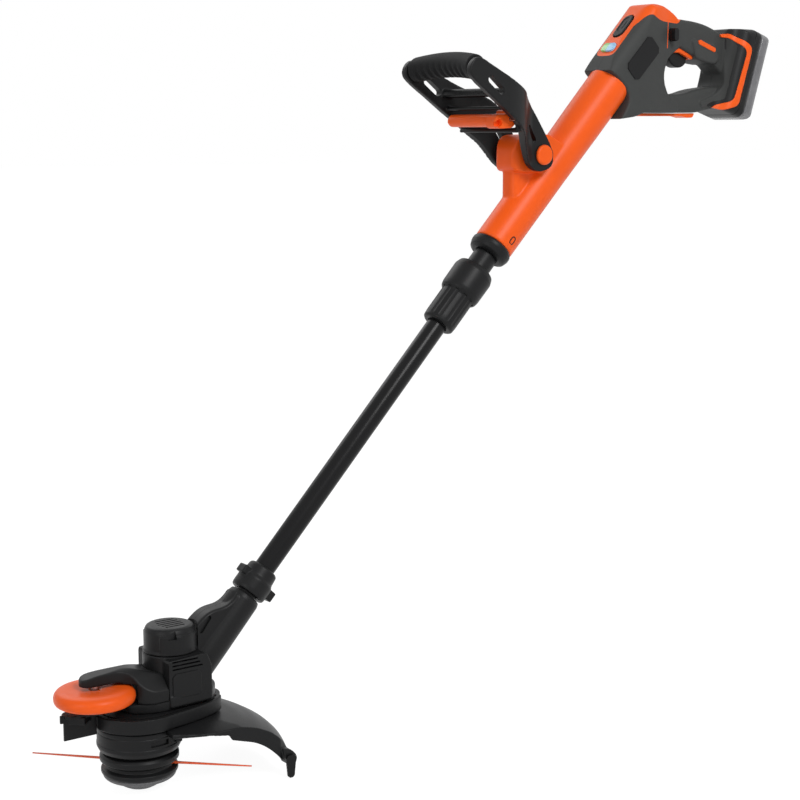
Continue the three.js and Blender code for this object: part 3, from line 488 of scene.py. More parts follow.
def rounded(points, steps=6):
    """A closed outline through corner points (a, b, radius), each rounded by its own radius"""
    outline = []
    for i, (a, b, *radius) in enumerate(points):
        before, at, after = (Vector(points[k % len(points)][:2]) for k in (i - 1, i, i + 1))
        outline += corner(before, at, after, radius[0], steps) if radius else [at]
    return outline


def softened(points, radius=0.5, steps=3):
    """An open profile whose inner corners are rounded by one radius"""
    points = [Vector(point) for point in points]
    outline = points[:1]
    for before, at, after in zip(points, points[1:], points[2:]):
        outline += corner(before, at, after, radius, steps)
    return outline + points[-1:]


def mirrored(half, flip=(1, -1)):
    """The points of half an outline, and then its other half"""
    return half + [(a * flip[0], b * flip[1], *radius) for a, b, *radius in reversed(half)]


def upturned(half):
    """Half an outline (y, z), mirrored in the symmetry plane"""
    return mirrored(half, (-1, 1))


def arc(x, y, radius, first, last, count=24):
    """Points on an arc between two angles in degrees"""
    angles = [math.radians(first + (last - first) * k / count) for k in range(count + 1)]
    return [(x + radius * math.cos(angle), y + radius * math.sin(angle)) for angle in angles]


def stadium(x, y, length, width, angle=0):
    """A slot outline with round ends"""
    half = (length - width) / 2
    c, s = math.cos(math.radians(angle)), math.sin(math.radians(angle))
    return (arc(x + half * c, y + half * s, width / 2, angle - 90, angle + 90, 10)
        + arc(x - half * c, y - half * s, width / 2, angle + 90, angle + 270, 10))


def grown(outline, by=0.3):
    """An outline moved outwards"""
    points = [Vector(point) for point in outline]
    area = sum(a.x * b.y - b.x * a.y for a, b in zip(points, points[1:] + points[:1]))
    moved = []
    for i, at in enumerate(points):
        way = points[(i + 1) % len(points)] - points[i - 1]
        out = Vector((way.y, -way.x)) if area > 0 else Vector((-way.y, way.x))
        moved.append(at + out.normalized() * by)
    return moved


# Where the tube ends in the rear housing
BOUNDARY = [(690, 738), (709, 768, 22), (672, 799)]


# Pieces, each with its own operator

class AddStage(bpy.types.Operator):
    """Adds the pale floor, the soft studio light and the camera"""

    bl_idname = "trimmer.add_stage"
    bl_label = "Stage"

    def execute(self, context):
        context.scene.view_settings.view_transform = "Standard"
        self.add_camera(context.scene)
        self.add_floor()
        self.add_world(context.scene)
        self.add_lamps(context.scene)
        return {"FINISHED"}

    def add_camera(self, scene):
        heading, pitch = math.radians(36.3), math.radians(9)
        forward = Vector((math.sin(heading) * math.cos(pitch), math.cos(heading) * math.cos(pitch),
            -math.sin(pitch)))
        data = bpy.data.cameras.new("camera")
        data.sensor_width = 36
        data.lens = 76.5
        data.clip_start = 0.05
        data.clip_end = 50
        camera = bpy.data.objects.new("camera", data)
        camera.location = (-0.8371, -1.6299, 0.7233)
        camera.rotation_euler = forward.to_track_quat("-Z", "Y").to_euler()
        scene.collection.objects.link(camera)
        scene.camera = camera

    def add_floor(self):
        """A matt floor that keeps the shadow, with a glow that makes it white"""
        bm = bmesh.new()
        bmesh.ops.create_grid(bm, x_segments=1, y_segments=1, size=30)
        floor = as_object("floor", bm)
        finish = Finish("floor", roughness=0.9)
        finish.set("Base Color", (0.93, 0.93, 0.93))
        glow = finish.node("Emission", None, {"Color": (1, 1, 1), "Strength": 1.25})
        blend = finish.node("MixShader", None, {0: finish.background_seen() * 0.75,
            1: Value(finish, finish.shader.outputs[0]), 2: glow})
        finish.feed(finish.tree.nodes["Material Output"].inputs["Surface"], blend)
        floor.data.materials.append(finish.material)
        floor.location = (0, 0, -0.0004)

    def add_world(self, scene):
        """A white background that lights the object at a quarter of its strength"""
        scene.world = bpy.data.worlds.new("studio")
        scene.world.use_nodes = True
        studio = Nodes(scene.world.node_tree)
        background = studio.tree.nodes["Background"].inputs
        studio.feed(background["Color"], (1, 1, 1))
        studio.feed(background["Strength"], studio.background_seen() * 0.75 + 0.25)

    def add_lamps(self, scene):
        centre = Vector((0.45, 0, 0.45))
        for name, where, size, power in (
            ("key", (0.3, -2.5, 2.5), 1.3, 56),
            ("fill", (-2.3, -0.9, 1.2), 1.2, 13),
            ("back", (0.2, 2.2, 2.2), 1.8, 16),
        ):
            data = bpy.data.lights.new(name, "AREA")
            data.shape = "DISK"
            data.size = size
            data.energy = power
            lamp = bpy.data.objects.new(name, data)
            lamp.location = where
            lamp.rotation_euler = (centre - Vector(where)).to_track_quat("-Z", "Y").to_euler()
            scene.collection.objects.link(lamp)


class AddLine(bpy.types.Operator):
    """Adds the two free ends of the cutting line"""

    bl_idname = "trimmer.add_line"
    bl_label = "Cutting line"

    def execute(self, context):
        for node, (angle, reach) in LINE_ENDS.items():
            self.add_end(context.scene, node, math.radians(angle), 33 * MM, reach * MM)
        return {"FINISHED"}

    def add_end(self, scene, node, angle, start, end):
        """One straight end, which tapers towards its tip"""
        width = scene.trimmer_sizes.line_width
        way = Vector((math.cos(angle), math.sin(angle), 0))
        up = Vector((0, 0, LINE_UP * MM))
        last = 23
        curve = bpy.data.curves.new(node + "_strand", "CURVE")
        curve.dimensions = "3D"
        curve.bevel_depth = width / 2
        curve.bevel_resolution = 4
        spline = curve.splines.new("POLY")
        spline.points.add(last)
        for i, point in enumerate(spline.points):
            point.co = (*(way * (start + (end - start) * i / last) + up), 1)
            point.radius = 1.35 - 0.7 * i / last
        strand = bpy.data.objects.new(node + "_strand", curve)
        scene.collection.objects.link(strand)
        curve.materials.append(finish_of("orange_nylon"))
        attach(strand, "spool_body")
        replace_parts(strand, node)


class AddSpool(bpy.types.Operator):
    """Adds the bump cap and the spool"""

    bl_idname = "trimmer.add_spool"
    bl_label = "Spool and cap"

    def execute(self, context):
        turned(softened([(0, 0.6), (8, 0.6), (16, 2.2), (22, 5.6), (26, 9.4), (31, 11.4), (38, 14), (40.5, 16.5),
            (40.5, 19.2), (0, 19.2)], 1.6)).stands_for("bump_cap", "dish")
        reel = turned(softened([(0, 19.5), (41.5, 19.5), (42.8, 22), (42.6, 25.5), (37.5, 27.5), (37.5, 31.5),
            (41.5, 33), (44, 35.5), (44, 40.5), (41.5, 43.5), (37.5, 44.5), (37.5, 50), (40, 51), (40, 53), (22, 53),
            (22, 63), (40, 63), (40, 65), (4.3, 65), (4.3, 40), (0, 40)], 0.8))
        for angle, _ in LINE_ENDS.values():
            reel -= rod(2.6, 30, 50, shift(0, 0, LINE_UP) @ turn(angle, "Z") @ turn(90, "Y"), 24)
        reel.stands_for("spool", "reel")
        return {"FINISHED"}


class AddDrum(bpy.types.Operator):
    """Adds the drum round the spool, with its window and the hook beside it"""

    bl_idname = "trimmer.add_drum"
    bl_label = "Drum"

    def execute(self, context):
        wall = turned(softened([(43.5, 48), (44.6, 48), (47, 53), (47, 56.6), (46.5, 57.2), (46.5, 68.4), (46, 69),
            (46, 69.8), (46.5, 70.4), (46.5, 74), (44.5, 76), (6, 76), (6, 73), (43.5, 73), (43.5, 48)]), 128)
        wall -= block(-9, 13, -60, -30, 60, 66) - rod(44.2, 50, 70, steps=96)
        hook = slab(rounded([(24, 58, 1.5), (32, 58, 1.5), (32, 73), (24, 73)]), -41.5, -34, 0.8)
        wall += hook - rod(42.5, 40, 80)
        wall.stands_for("spool_drum", "wall")
        return {"FINISHED"}


class AddWheel(bpy.types.Operator):
    """Adds the edging wheel"""

    bl_idname = "trimmer.add_wheel"
    bl_label = "Edging wheel"

    def execute(self, context):
        tyre = softened([(5, 111.3), (30, 111.3), (33, 107.5), (38, 107.3), (43, 109), (44.7, 113.5), (44.2, 119),
            (40.5, 123.2), (33, 124.8), (24, 124.6), (5, 123.8), (5, 111.3)], 4.5, 8)
        turned(tyre, 128, AT_WHEEL).stands_for("edge_wheel", "tyre")
        return {"FINISHED"}


class AddShaft(bpy.types.Operator):
    """Adds the lower tube, the clamp nut, its sleeve, the bezel and the swivel collar"""

    bl_idname = "trimmer.add_shaft"
    bl_label = "Shaft"

    def execute(self, context):
        for node, radius, profile in (
            ("lower_tube", 0.2, [(11.1, -116), (12.5, -116), (12.5, 560), (11.1, 560), (11.1, -116)]),
            ("tube_bezel", 0.8, [(12.8, 456.3), (19.5, 456.3), (24.3, 459), (26.4, 465), (26.6, 469), (25.4, 471.6),
                (22, 471.7), (22, 484), (12.8, 484), (12.8, 456.3)]),
            ("clamp_sleeve", 0.3, [(12.8, 354), (14, 354), (14.8, 360), (15.6, 430), (15.6, 456), (12.8, 456),
                (12.8, 354)]),
        ):
            turned(softened(profile, radius), 96, ON_SHAFT).stands_for(node, "turned")
        self.add_nut(context.scene.trimmer_sizes.flutes)
        self.add_collar()
        return {"FINISHED"}

    def add_nut(self, flutes):
        nut = turned(softened([(13.2, 346), (17.5, 346), (20.4, 348), (21, 355), (21, 390), (24.6, 394), (25.6, 399),
            (25.9, 426), (23.5, 433), (19, 434), (16.3, 434), (16.3, 353), (13.2, 353), (13.2, 346)], 1.2),
            144, ON_SHAFT)
        for i in range(flutes):
            place = ON_SHAFT @ turn(360 * (i + 0.5) / flutes, "Z") @ shift(22.2, 0, 0)
            nut -= raised(stadium(0, 0, 6.4, 3.4, 90), 350, 392, 1.4, place)
        nut.stands_for("clamp_nut", "turned")

    def add_collar(self):
        sleeve = turned(softened([(12.8, -54), (20.5, -54), (21.5, -50), (21.5, -36), (19, -32), (18, -21),
            (15.5, -19), (12.8, -19), (12.8, -54)], 1.5), 96, ON_SHAFT)
        for x0, x1, low, high in ((-27, -14, -40, -30), (14, 30, -46, -34)):
            sleeve += raised(rounded(mirrored([(x0, -8, 3), (x1, -8, 3)])), low, high, 1, ON_SHAFT)
        sleeve = sleeve.melted(0.75, 5) - rod(TUBE_BORE, -60, -10, ON_SHAFT)
        sleeve.stands_for("swivel_collar", "sleeve")


class AddUpperTube(bpy.types.Operator):
    """Adds the bright upper tube with the boss that carries the handle"""

    bl_idname = "trimmer.add_upper_tube"
    bl_label = "Upper tube"

    def execute(self, context):
        barrel = spun(softened([(0, 472), (24.6, 472), (25.4, 474), (26, 600), (27.2, 680), (27.7, 790), (0, 790)],
            0.8), 144)
        for point in barrel.verts:      # it leans towards its upper side
            point.co.x += 2.3 * MM * max(0, point.co.z / MM - 472) / 318
        bmesh.ops.transform(barrel, matrix=ON_SHAFT, verts=barrel.verts)
        boss = slab(rounded([(519, 673, 14), (518, 700, 14), (530, 718, 10), (574, 719.5, 8), (606, 702),
            (590, 673)]), -21, 21)
        boss &= raised(rounded(mirrored([(516, -21, 19), (640, -21)]), 12), 600, 740)
        web = slab(rounded([(524, 630), (524, 690), (590, 690), (545, 630)]), -14, 14)
        web &= raised(rounded(mirrored([(524, -14, 11), (640, -14)]), 12), 600, 740)
        boss = (boss + web) + rod(15, -26, 26, AT_PIVOT @ ACROSS, 64)
        tube = (Form(barrel) + boss).melted(1.1, 12)
        tube -= slab(rounded(BOUNDARY + [(672, 900), (900, 900), (900, 600), (690, 600)]), -60, 60)
        tube -= rod(22.3, 460, 484.5, ON_SHAFT)
        tube -= rod(22.6, 480, 700, ON_SHAFT)
        tube -= rod(BOLT_BORE, -60, 60, AT_PIVOT @ ACROSS)
        tube.stands_for("upper_tube")
        self.size_mark().shown("size_mark_ring", BODY_OF["upper_tube"], "black_plastic")
        return {"FINISHED"}

    def size_mark(self):
        """A plain dark oval ring, printed low on the tube"""
        place = ON_SHAFT @ shift(0, 0, 485) @ turn(276, "Z") @ ALONG
        ring = raised(stadium(0, 0, 12, 7.5, 90), 15, 40, place=place)
        ring -= raised(stadium(0, 0, 8.8, 4.6, 90), 10, 45, place=place)
        return ring & rod(25.65, 480, 505, ON_SHAFT, 144)


class AddHandle(bpy.types.Operator):
    """Adds the assist handle with its grip, its lever and the caps over its pivot"""

    bl_idname = "trimmer.add_handle"
    bl_label = "Assist handle"

    def execute(self, context):
        self.add_frame()
        self.add_grip()
        self.add_lever()
        for side, node in ((-1, "pivot_cap_left"), (1, "pivot_cap_right")):
            cap = softened([(0, 35.3), (12.3, 35.3), (12.3, 38), (10.8, 39.6), (9, 39.8), (0, 39.8)], 0.8)
            turned(cap, 64, AT_PIVOT @ turn(-90 * side, "X")).stands_for(node, "turned")
        return {"FINISHED"}

    def arm(self, side):
        """A flat arm that steps inwards to the pivot"""
        outline = rounded([(-120, 112, 4), (-52, 79, 14), (-26, 66, 14), (-9, 44, 12), (11, 14, 12), (18, 0, 10),
            (15, -16, 14), (-8, -22, 12), (-24, -12, 10), (-40, 16, 14), (-60, 36, 16), (-132, 86, 6), (-142, 95, 8),
            (-140, 107, 8), (-130, 115, 6)], 10)
        band = curved((-150, 60), (-80, 56), (-58, 54, -46, 42), (-34, 29, -20, 26.8), (30, 26.8), (30, 35),
            (-18, 35), (-28, 37, -42, 52), (-52, 64, -80, 66), (-150, 68))
        return slab(outline, -70, 70, place=AT_PIVOT) & raised([(x, y * side) for x, y in band], -40, 140,
            place=AT_PIVOT)

    def add_frame(self):
        bail = self.arm(-1) + self.arm(1)
        for half, bar in (
            (60, [(-88, 70.5, 2), (-73, 69, 2), (-71, 78, 3), (-85, 80, 3)]),
            (60, [(-81, 54, 2), (-73, 53.5, 2), (-72, 58, 2), (-80, 58.5, 2)]),
            (54, [(-62, 27, 2), (-55, 27, 2), (-53, 33, 2), (-60, 33, 2)]),
        ):
            bail += slab(rounded(bar), -half, half, place=AT_PIVOT)
        bail = bail.melted(1.0, 7)
        for side in (-1, 1):
            for slot, middle, half in ((stadium(-101, 82, 30, 9, -38), side * 64, 12),
                    (stadium(-20, 26, 24, 6, -58), side * 48, 22)):
                bail -= slab(slot, middle - half, middle + half, place=AT_PIVOT)
        bail -= rod(BOLT_BORE, -60, 60, AT_PIVOT @ ACROSS)
        bail -= rod(PIN_BORE, -62, 62, AT_PIN @ ACROSS)
        bail.stands_for("handle_frame")

    def add_lever(self):
        """The bright release lever under the grip, with a bracket and a finger hole at its near end"""
        bar = slab(rounded([(-90, 40, 4), (-84, 33, 5), (-64, 35.5, 5), (-60, 45, 5), (-68, 49.5, 5),
            (-86, 48.5, 4)]), -50, 44, 2, AT_PIVOT)
        bracket = slab(rounded([(-89, 38, 4), (-84, 31.5, 5), (-62, 32.5, 5), (-55, 43, 5), (-60, 54, 4),
            (-70, 54, 4), (-71, 49), (-86, 48.5, 4)]), -51, -28, 1.5, AT_PIVOT)
        lever = (bar - slab(stadium(-90, 42, 10, 3.4, 75), -45, -30, 1, AT_PIVOT)) + bracket
        lever = lever.melted(0.7, 5) - rod(4.6, -60, -44, AT_PIVOT @ shift(-84, 0, 38.5) @ ACROSS)
        lever -= rod(PIN_BORE, -62, 62, AT_PIN @ ACROSS)
        lever.stands_for("handle_lever")

    def add_grip(self):
        """A bowed round bar with nine finger grooves on its front lower side"""
        bm = bmesh.new()
        rings, sides = 180, 56
        made = []
        for i in range(rings + 1):
            y = -57.4 + 114.8 * i / rings
            bow = 1 - (y / 59.4) ** 2
            middle = Vector((-125 + 6 * bow, y, 102 + 5 * bow))
            round_end = math.sqrt(max(0.0, 1 - max(0.0, (abs(y) - 55.4) / 2.4) ** 2)) * 0.14 + 0.86
            along = (y + 49.5) / 11
            dent = max(0.0, 1 - (2 * abs(along - round(along + 0.5) + 0.5) / 0.62) ** 2) if abs(y) < 49.5 else 0.0
            ring = []
            for k in range(sides):
                angle = 2 * math.pi * k / sides
                facing = max(0.0, math.cos(angle - math.radians(232))) ** 4
                radius = 15 * round_end - 2.6 * dent * facing
                ring.append(bm.verts.new(middle + Vector((radius * math.cos(angle), 0, radius * math.sin(angle)))))
            made.append(ring)
        for ring, after in zip(made, made[1:]):
            for k in range(sides):
                bm.faces.new((ring[k], ring[(k + 1) % sides], after[(k + 1) % sides], after[k]))
        bm.faces.new(made[0])
        bm.faces.new(made[-1])
        bmesh.ops.recalc_face_normals(bm, faces=bm.faces)
        Form(placed(bm, AT_PIVOT)).stands_for("handle_grip", "bar")


class AddGuard(bpy.types.Operator):
    """Adds the domed guard and the plate that it hangs from"""

    bl_idname = "trimmer.add_guard"
    bl_label = "Guard"

    def execute(self, context):
        guard = self.shell(0) - self.shell(3)
        guard -= slab(curved((-20, -30), (200, -30), (200, 21), (141, 21), (120, 46, 97, 52.5), (76, 59), (72, 65),
            (60, 67, 48, 69.5), (-20, 69.5)), -120, 120)
        guard -= rod(46.8, 0, 80, steps=96)
        guard += slab(rounded([(139, 36, 2), (149, 34.5, 6), (158.5, 25, 6), (157, 16, 3), (145, 16, 2)]),
            -79.2, -64, 1)
        guard.melted(1.05, 4).stands_for("guard", "shell")
        self.add_plate()
        return {"FINISHED"}

    def shell(self, inset):
        """The dome over a plan outline, drawn in by an inset"""
        fall = [(167, 20), (165, 34), (159, 46), (148, 57), (132, 66.5), (112, 73), (88, 76), (60, 76.5), (0, 76.5)]
        smaller = 1 - inset / 166
        dome = turned(softened([(0, -20), (167 * smaller, -20)] + [(r * smaller, z - inset) for r, z in fall], 5), 160)
        radius, half = 166 - inset, 76 - inset
        swing = math.degrees(math.asin(half / radius)) - 2.9
        far = radius * math.cos(math.asin(half / radius)) - 10
        plan = [(10 + inset, 16 - half), (44, 2 - half), (80, -half), (far, -half)]
        plan += arc(0, 0, radius, -swing, swing, 40) + [(x, -y) for x, y in reversed(plan)]
        crown = curved((-100, -20), (100, -20), (100, 64), (70, 78, 0, 78), (-70, 78, -100, 64), count=24)
        return (dome & raised(plan, -10 - inset, 90)) & raised(crown, -20, 220, place=shift(0, 0, -inset) @ ALONG)

    def add_plate(self):
        outline = arc(0, 0, 51, 70, 290, 60) + curved((17.4, -47.9), (76, -40, 94, -21), count=24)[1:]
        outline += arc(80.5, 0, 20.5, -50, 50, 24) + curved((94, 21), (76, 40, 17.4, 47.9), count=24)[1:-1]
        inner = [(x * 0.93 + 1.8, y * 0.9) for x, y in outline]
        plate = raised(outline, 77, 93).melted(0.9, 7) + rod(8.5, 76.3, 78)
        plate -= raised(inner, 91.7, 95) - raised([(x * 0.96 + 1.0, y * 0.96) for x, y in inner], 90, 96)
        plate -= rod(4.3, 60, 91.3)
        plate -= rod(36, 80.5, 91.3)
        plate -= rod(11, 80.5, 100, AT_MOTOR)
        plate.stands_for("mount_plate")


class AddHead(bpy.types.Operator):
    """Adds the motor head's casing, its cap and the arm over the edging wheel"""

    bl_idname = "trimmer.add_head"
    bl_label = "Motor head"

    def execute(self, context):
        self.add_casing()
        self.add_cap()
        self.add_arm()
        return {"FINISHED"}

    def add_casing(self):
        casing = raised(rounded(mirrored([(-22, -20, 8), (4, -36, 14), (77, -32, 8), (89, -16, 8)])), 93.3, 104)
        casing += rod(31, 93.3, 151, AT_MOTOR, 120)
        casing += raised(rounded(mirrored([(38, -31), (72, -28, 10), (86, -14, 8)])), 93.3, 128)
        spine = rounded([(48, 98), (48, 149), (64, 151), (64, 172, 4), (72, 180, 6), (82, 187.5, 6), (91, 190.5, 6),
            (107, 192, 8), (117, 198, 6), (123, 205), (140, 180), (86.2, 119.5, 6), (83, 98)])
        casing += slab(spine, -14, 14, 4)
        casing += turned([(0, -165), (21, -165), (20.5, -120), (19.5, -62), (18, -57), (0, -57)], 120, ON_SHAFT)
        casing += raised(rounded(mirrored([(20, -38.4, 3), (74, -35.5, 10), (91, -15, 10)])), 95, 110, 3)
        panel = rounded([(20, 97, 2), (74, 97, 3), (74, 136, 3), (68, 151, 3), (20, 149, 3)])
        casing = (casing + slab(panel, -36.5, 36.5)).melted(0.8, 8)
        casing -= block(-60, 140, -60, 60, 80, 93.3)
        for hole in (rod(25, 104, 200, AT_MOTOR), rod(6, 80, 120, AT_MOTOR), rod(31.1, 151, 200, AT_MOTOR, 96),
                rod(TUBE_BORE, -118, 0, ON_SHAFT)):
            casing -= hole
        for middle in (-31, 31):
            for i in range(3):
                z, end = 138 + 4.2 * i, 62 - 3 * i
                slit = rounded([(24, z, 0.5), (end, z, 0.8), (end, z + 1.8, 0.8), (24, z + 1.8, 0.5)])
                casing -= slab(slit, middle - 6.5, middle + 6.5)
        casing -= slab(stadium(79, 176, 22, 5, 52), -30, -11.5)
        stand_for_halves(casing, "head_casing")

    def add_cap(self):
        cup = turned(softened([(26, 151.3), (30.5, 151.3), (30.5, 153.6), (29.2, 154.4), (28.6, 175), (26.5, 179.5),
            (23, 181), (0, 181), (0, 178), (26, 178), (26, 151.3)], 1.2), 128, AT_MOTOR)
        cup += block(-23, 23, -31, 31, 153.5, 173, AT_MOTOR) & (rod(30.2, 150, 175, AT_MOTOR, 96)
            - rod(27, 140, 180, AT_MOTOR))
        cup = cup.melted(0.7, 3)
        for i in range(-2, 3):
            cup -= raised(stadium(0, i * 6.5, 30 - 3 * abs(i), 2.6), 176, 183, place=AT_MOTOR)
        cup -= block(-21, -7, -32, -25.5, 170, 179, AT_MOTOR)
        cup.stands_for("motor_cap", "turned")

    def add_arm(self):
        plan = curved((20, -36.3), (5, -36.3), (-9, -34, -14, -22), (-19, -10.5, -34, -10), count=16)
        plan += arc(-60, 0, 10, 270, 90, 24)
        plan += curved((-34, 10), (-19, 10.5, -14, 22), (-9, 34, 5, 36.3), (20, 36.3), count=16)
        side = rounded([(-71, 128.5, 2), (-71, 135.5, 5), (-60, 140, 10), (-16, 142.5, 10), (20, 132), (20, 104.3),
            (-20, 104.3), (-20, 121, 4), (-26, 128, 4)])
        crown = rounded(upturned([(-37, 90), (-37, 117), (-11, 142.5, 14)]), 12)
        arm = (raised(plan, 90, 160) & slab(side, -60, 60)) & raised(crown, -90, 60, place=ALONG)
        arm = arm.melted(0.7, 14)
        for hole in (rod(31.3, 90, 160, AT_MOTOR, 96), rod(4.9, 120, 133, AT_WHEEL), rod(47, 90, 126.5, AT_WHEEL, 96),
                block(19.7, 60, -60, 60, 90, 200), block(-90, 60, -60, 60, 90, 104.3)):
            arm -= hole
        arm.stands_for("wheel_arm")


class AddRear(bpy.types.Operator):
    """Adds the rear housing with its cover, and the dock behind it"""

    bl_idname = "trimmer.add_rear"
    bl_label = "Rear housing"

    crest = [(706, 846), (734, 868, 6), (742, 871.5, 5), (752, 866, 6), (763, 863, 6), (783, 862, 4), (796, 861, 4),
        (806, 869), (806, 910), (700, 910), (700, 846)]
    slope = mirrored([(-50.5, -17, 10), (40, -17)])
    trim = [(785, 827.8, 2), (799, 833.8, 8), (832, 821, 2), (830, 815.5, 2), (799, 827.3, 8), (787, 821, 2)]
    lens = mirrored([(-44.5, -11.5, 6), (-30, -11.5, 6)])
    stripe = [(876, 850.5, 1.5), (894, 851.5, 5), (921, 833, 8), (896.5, 756.5, 8), (862, 747, 3), (853, 746.5, 0.5),
        (866, 757, 3), (888, 763.5, 7), (911.5, 829, 8), (893, 845.5, 5), (876, 846.5, 1.5)]
    inlay = stadium(848, 834, 34, 6, -19)

    def execute(self, context):
        shell = self.shell()
        foot = shell.copied()
        for hollow in self.hollows():
            shell -= hollow
        lid = slab(rounded(self.crest), -60, 60) + raised(rounded(self.slope), -9, 30, place=ON_SLOPE)
        lid += slab([(776.4, 868), (777.8, 868), (777.2, 829), (775.8, 829)], -60, 60)
        seat = lid.copied()
        (shell.copied() & lid).stands_for("top_cover")
        shell -= seat
        for middle in (-21.5, 21.5):
            shell -= slab(grown(self.inlay), middle - 1.8, middle + 1.8)
        for seat in self.stripe_seats():
            shell -= seat
        stand_for_halves(shell, "rear_housing")
        self.add_dock(foot)
        self.add_trigger()
        self.add_accents()
        return {"FINISHED"}

    def shell(self):
        """The whole moulding, with its cover still on"""
        body = slab(rounded(BOUNDARY + [(682, 816, 4), (704.5, 843.5, 8), (740.5, 881.5, 10), (753, 886, 10),
            (784, 877, 12), (798, 867.5, 5), (806, 834, 8), (779, 816, 8), (768, 791, 16), (785, 765, 10),
            (800, 760, 6), (800, 746.4), (731, 746.5, 4), (716, 741, 6)]), -29, 29, 3)
        body &= raised(rounded(mirrored([(-31.6, -29, 22), (140, -29)]), 12), 640, 1120, place=ON_SHAFT)
        body &= raised(rounded(upturned([(-29, 700), (-29, 886.5, 22)]), 12), 600, 960, place=ALONG)
        body &= raised(rounded(mirrored([(640, -29), (742, -29, 24), (784, -18, 12), (830, -18)]), 10), 700, 900)
        body += slab(rounded([(780, 869), (803, 867.5, 6), (835, 865, 14), (858, 860, 14), (886, 849, 6), (898, 846),
            (894, 800), (884, 795, 10), (873, 806, 8), (866, 811, 6), (848, 813, 4), (832, 819, 4), (799, 832.5, 6),
            (780, 826)]), -18, 18, 5)    # the grip
        body += slab(rounded([(821, 842, 6), (864, 838, 6), (874, 816, 6), (866, 810.5, 4), (848, 812.5, 4),
            (829, 817, 6)]), -22, 22, 3)    # the swelling on its side
        body += slab(rounded([(760, 771), (812, 771, 10), (838, 778, 12), (890, 784), (890, 756), (838, 747, 6),
            (760, 746.5)]), -17, 17, 5)    # the strut below the hand
        body += slab(rounded([(883, 848), (896, 846), (888, 764), (870, 757), (870, 773, 6), (883, 787, 4)]),
            -20, 20, 2)    # the post before the battery
        foot = slab(rounded([(886, 849), (894, 849, 4), (909.5, 829, 6), (888.5, 763.5, 6), (842, 755, 4),
            (840, 762, 3), (866, 770, 6), (880, 784, 8), (882, 810)]), -35.9, 35.9) & self.flare()
        return (body + foot).melted(1.0, 14)

    def flare(self, grow=0):
        """Seen along the battery, the foot flares from the post's width to the battery's"""
        narrow, wide = 20 + grow, 36 + grow
        return raised(rounded(mirrored([(-90, -narrow), (-25, -narrow, 8), (-10, -wide, 8), (60, -wide)])), -90, 90,
            place=ON_PACK)

    def corners(self, grow=0):
        """Seen from behind, the dock's corners are round"""
        wide = 36 + grow
        upper = raised(rounded([(-wide, 700), (wide, 700), (wide, 858 + grow, 13), (-wide, 858 + grow, 13)], 10),
            800, 1000, place=ALONG)
        return upper & raised(rounded([(-wide, -53.5 - grow, 14), (wide, -53.5 - grow, 14), (wide, 100),
            (-wide, 100)], 10), -90, 90, place=ON_PACK @ ALONG)

    def contacts(self):
        """Room for the battery's rails and for its contacts"""
        yield block(-1.6, 2.6, -27, 27, -44, 90, ON_PACK)
        yield block(2.5, 20, -12.6, 12.6, -44, 90, ON_PACK)

    def hollows(self):
        yield block(788.5, 826, -8.6, 8.6, 812, 836)
        yield block(790, 838, -10.5, 10.5, 836, 857)
        yield block(716, 764, -14, 14, 790, 846)
        yield slab(stadium(783, 846.5, 17.6, 8.6, 90), -50, 50)
        yield raised(stadium(0, 0, 41, 20), -9, 12, place=ON_SLOPE)
        yield raised(rounded(self.lens), -3.3, 12, place=ON_SLOPE)
        yield block(889, 912, -15, 15, 783, 812)
        yield slab(grown(rounded(self.trim)), -13.8, 13.8)
        yield from self.contacts()

    def stripe_seats(self):
        outline = grown(rounded(self.stripe))
        for low, high in ((-60, -10), (10, 60)):
            yield slab(outline, low, high) - self.flare(-3.9)

    def add_dock(self, foot):
        """The dark channel behind the foot, which fits round it"""
        low = [ON_PACK @ Vector((x * MM, 0, -53.3 * MM)) / MM for x in (8, -22)]
        outline = rounded([(883, 850, 3), (889, 858, 6), (930, 858), (low[0].x, low[0].z), (low[1].x, low[1].z, 8),
            (852, 749, 3), (853, 759), (867, 767), (882.5, 783), (885, 810)])
        dock = ((slab(outline, -36, 36) & self.flare()) & self.corners()).melted(0.8, 12) - foot
        dock -= block(4.8, 40, -60, 60, -90, 90, ON_PACK)
        for seat in self.stripe_seats():
            dock -= seat
        dock -= block(889, 925, -15, 15, 783, 812)
        for room in self.contacts():
            dock -= room
        dock.stands_for("battery_dock")

    def add_trigger(self):
        """A curled finger lever under its bright arch"""
        lever = slab(rounded([(790, 833), (824, 833), (824.2, 819, 2), (824.2, 811, 5), (815, 805, 6), (803, 806, 6),
            (793, 814, 6), (790, 822, 3)], 8), -8.1, 8.1, 2)
        lever.melted(0.6, 10).stands_for("trigger")

    def add_accents(self):
        """The bright stripes round the dock and the bright inlays in the grip"""
        for side, end in ((-1, "_left"), (1, "_right")):
            low, high = sorted((side * 10, side * 60))
            stripe = slab(rounded(self.stripe), low, high) - self.flare(-3.5)
            stripe = ((stripe & self.flare(0.4)) & self.corners(0.4)).melted(0.5, 3)
            stripe.stands_for("dock_stripe", side=end)
            bar = slab(self.inlay, side * 21.4 - 1.4, side * 21.4 + 1.4, 0.6)
            bar.stands_for("grip_inlay", side=end)


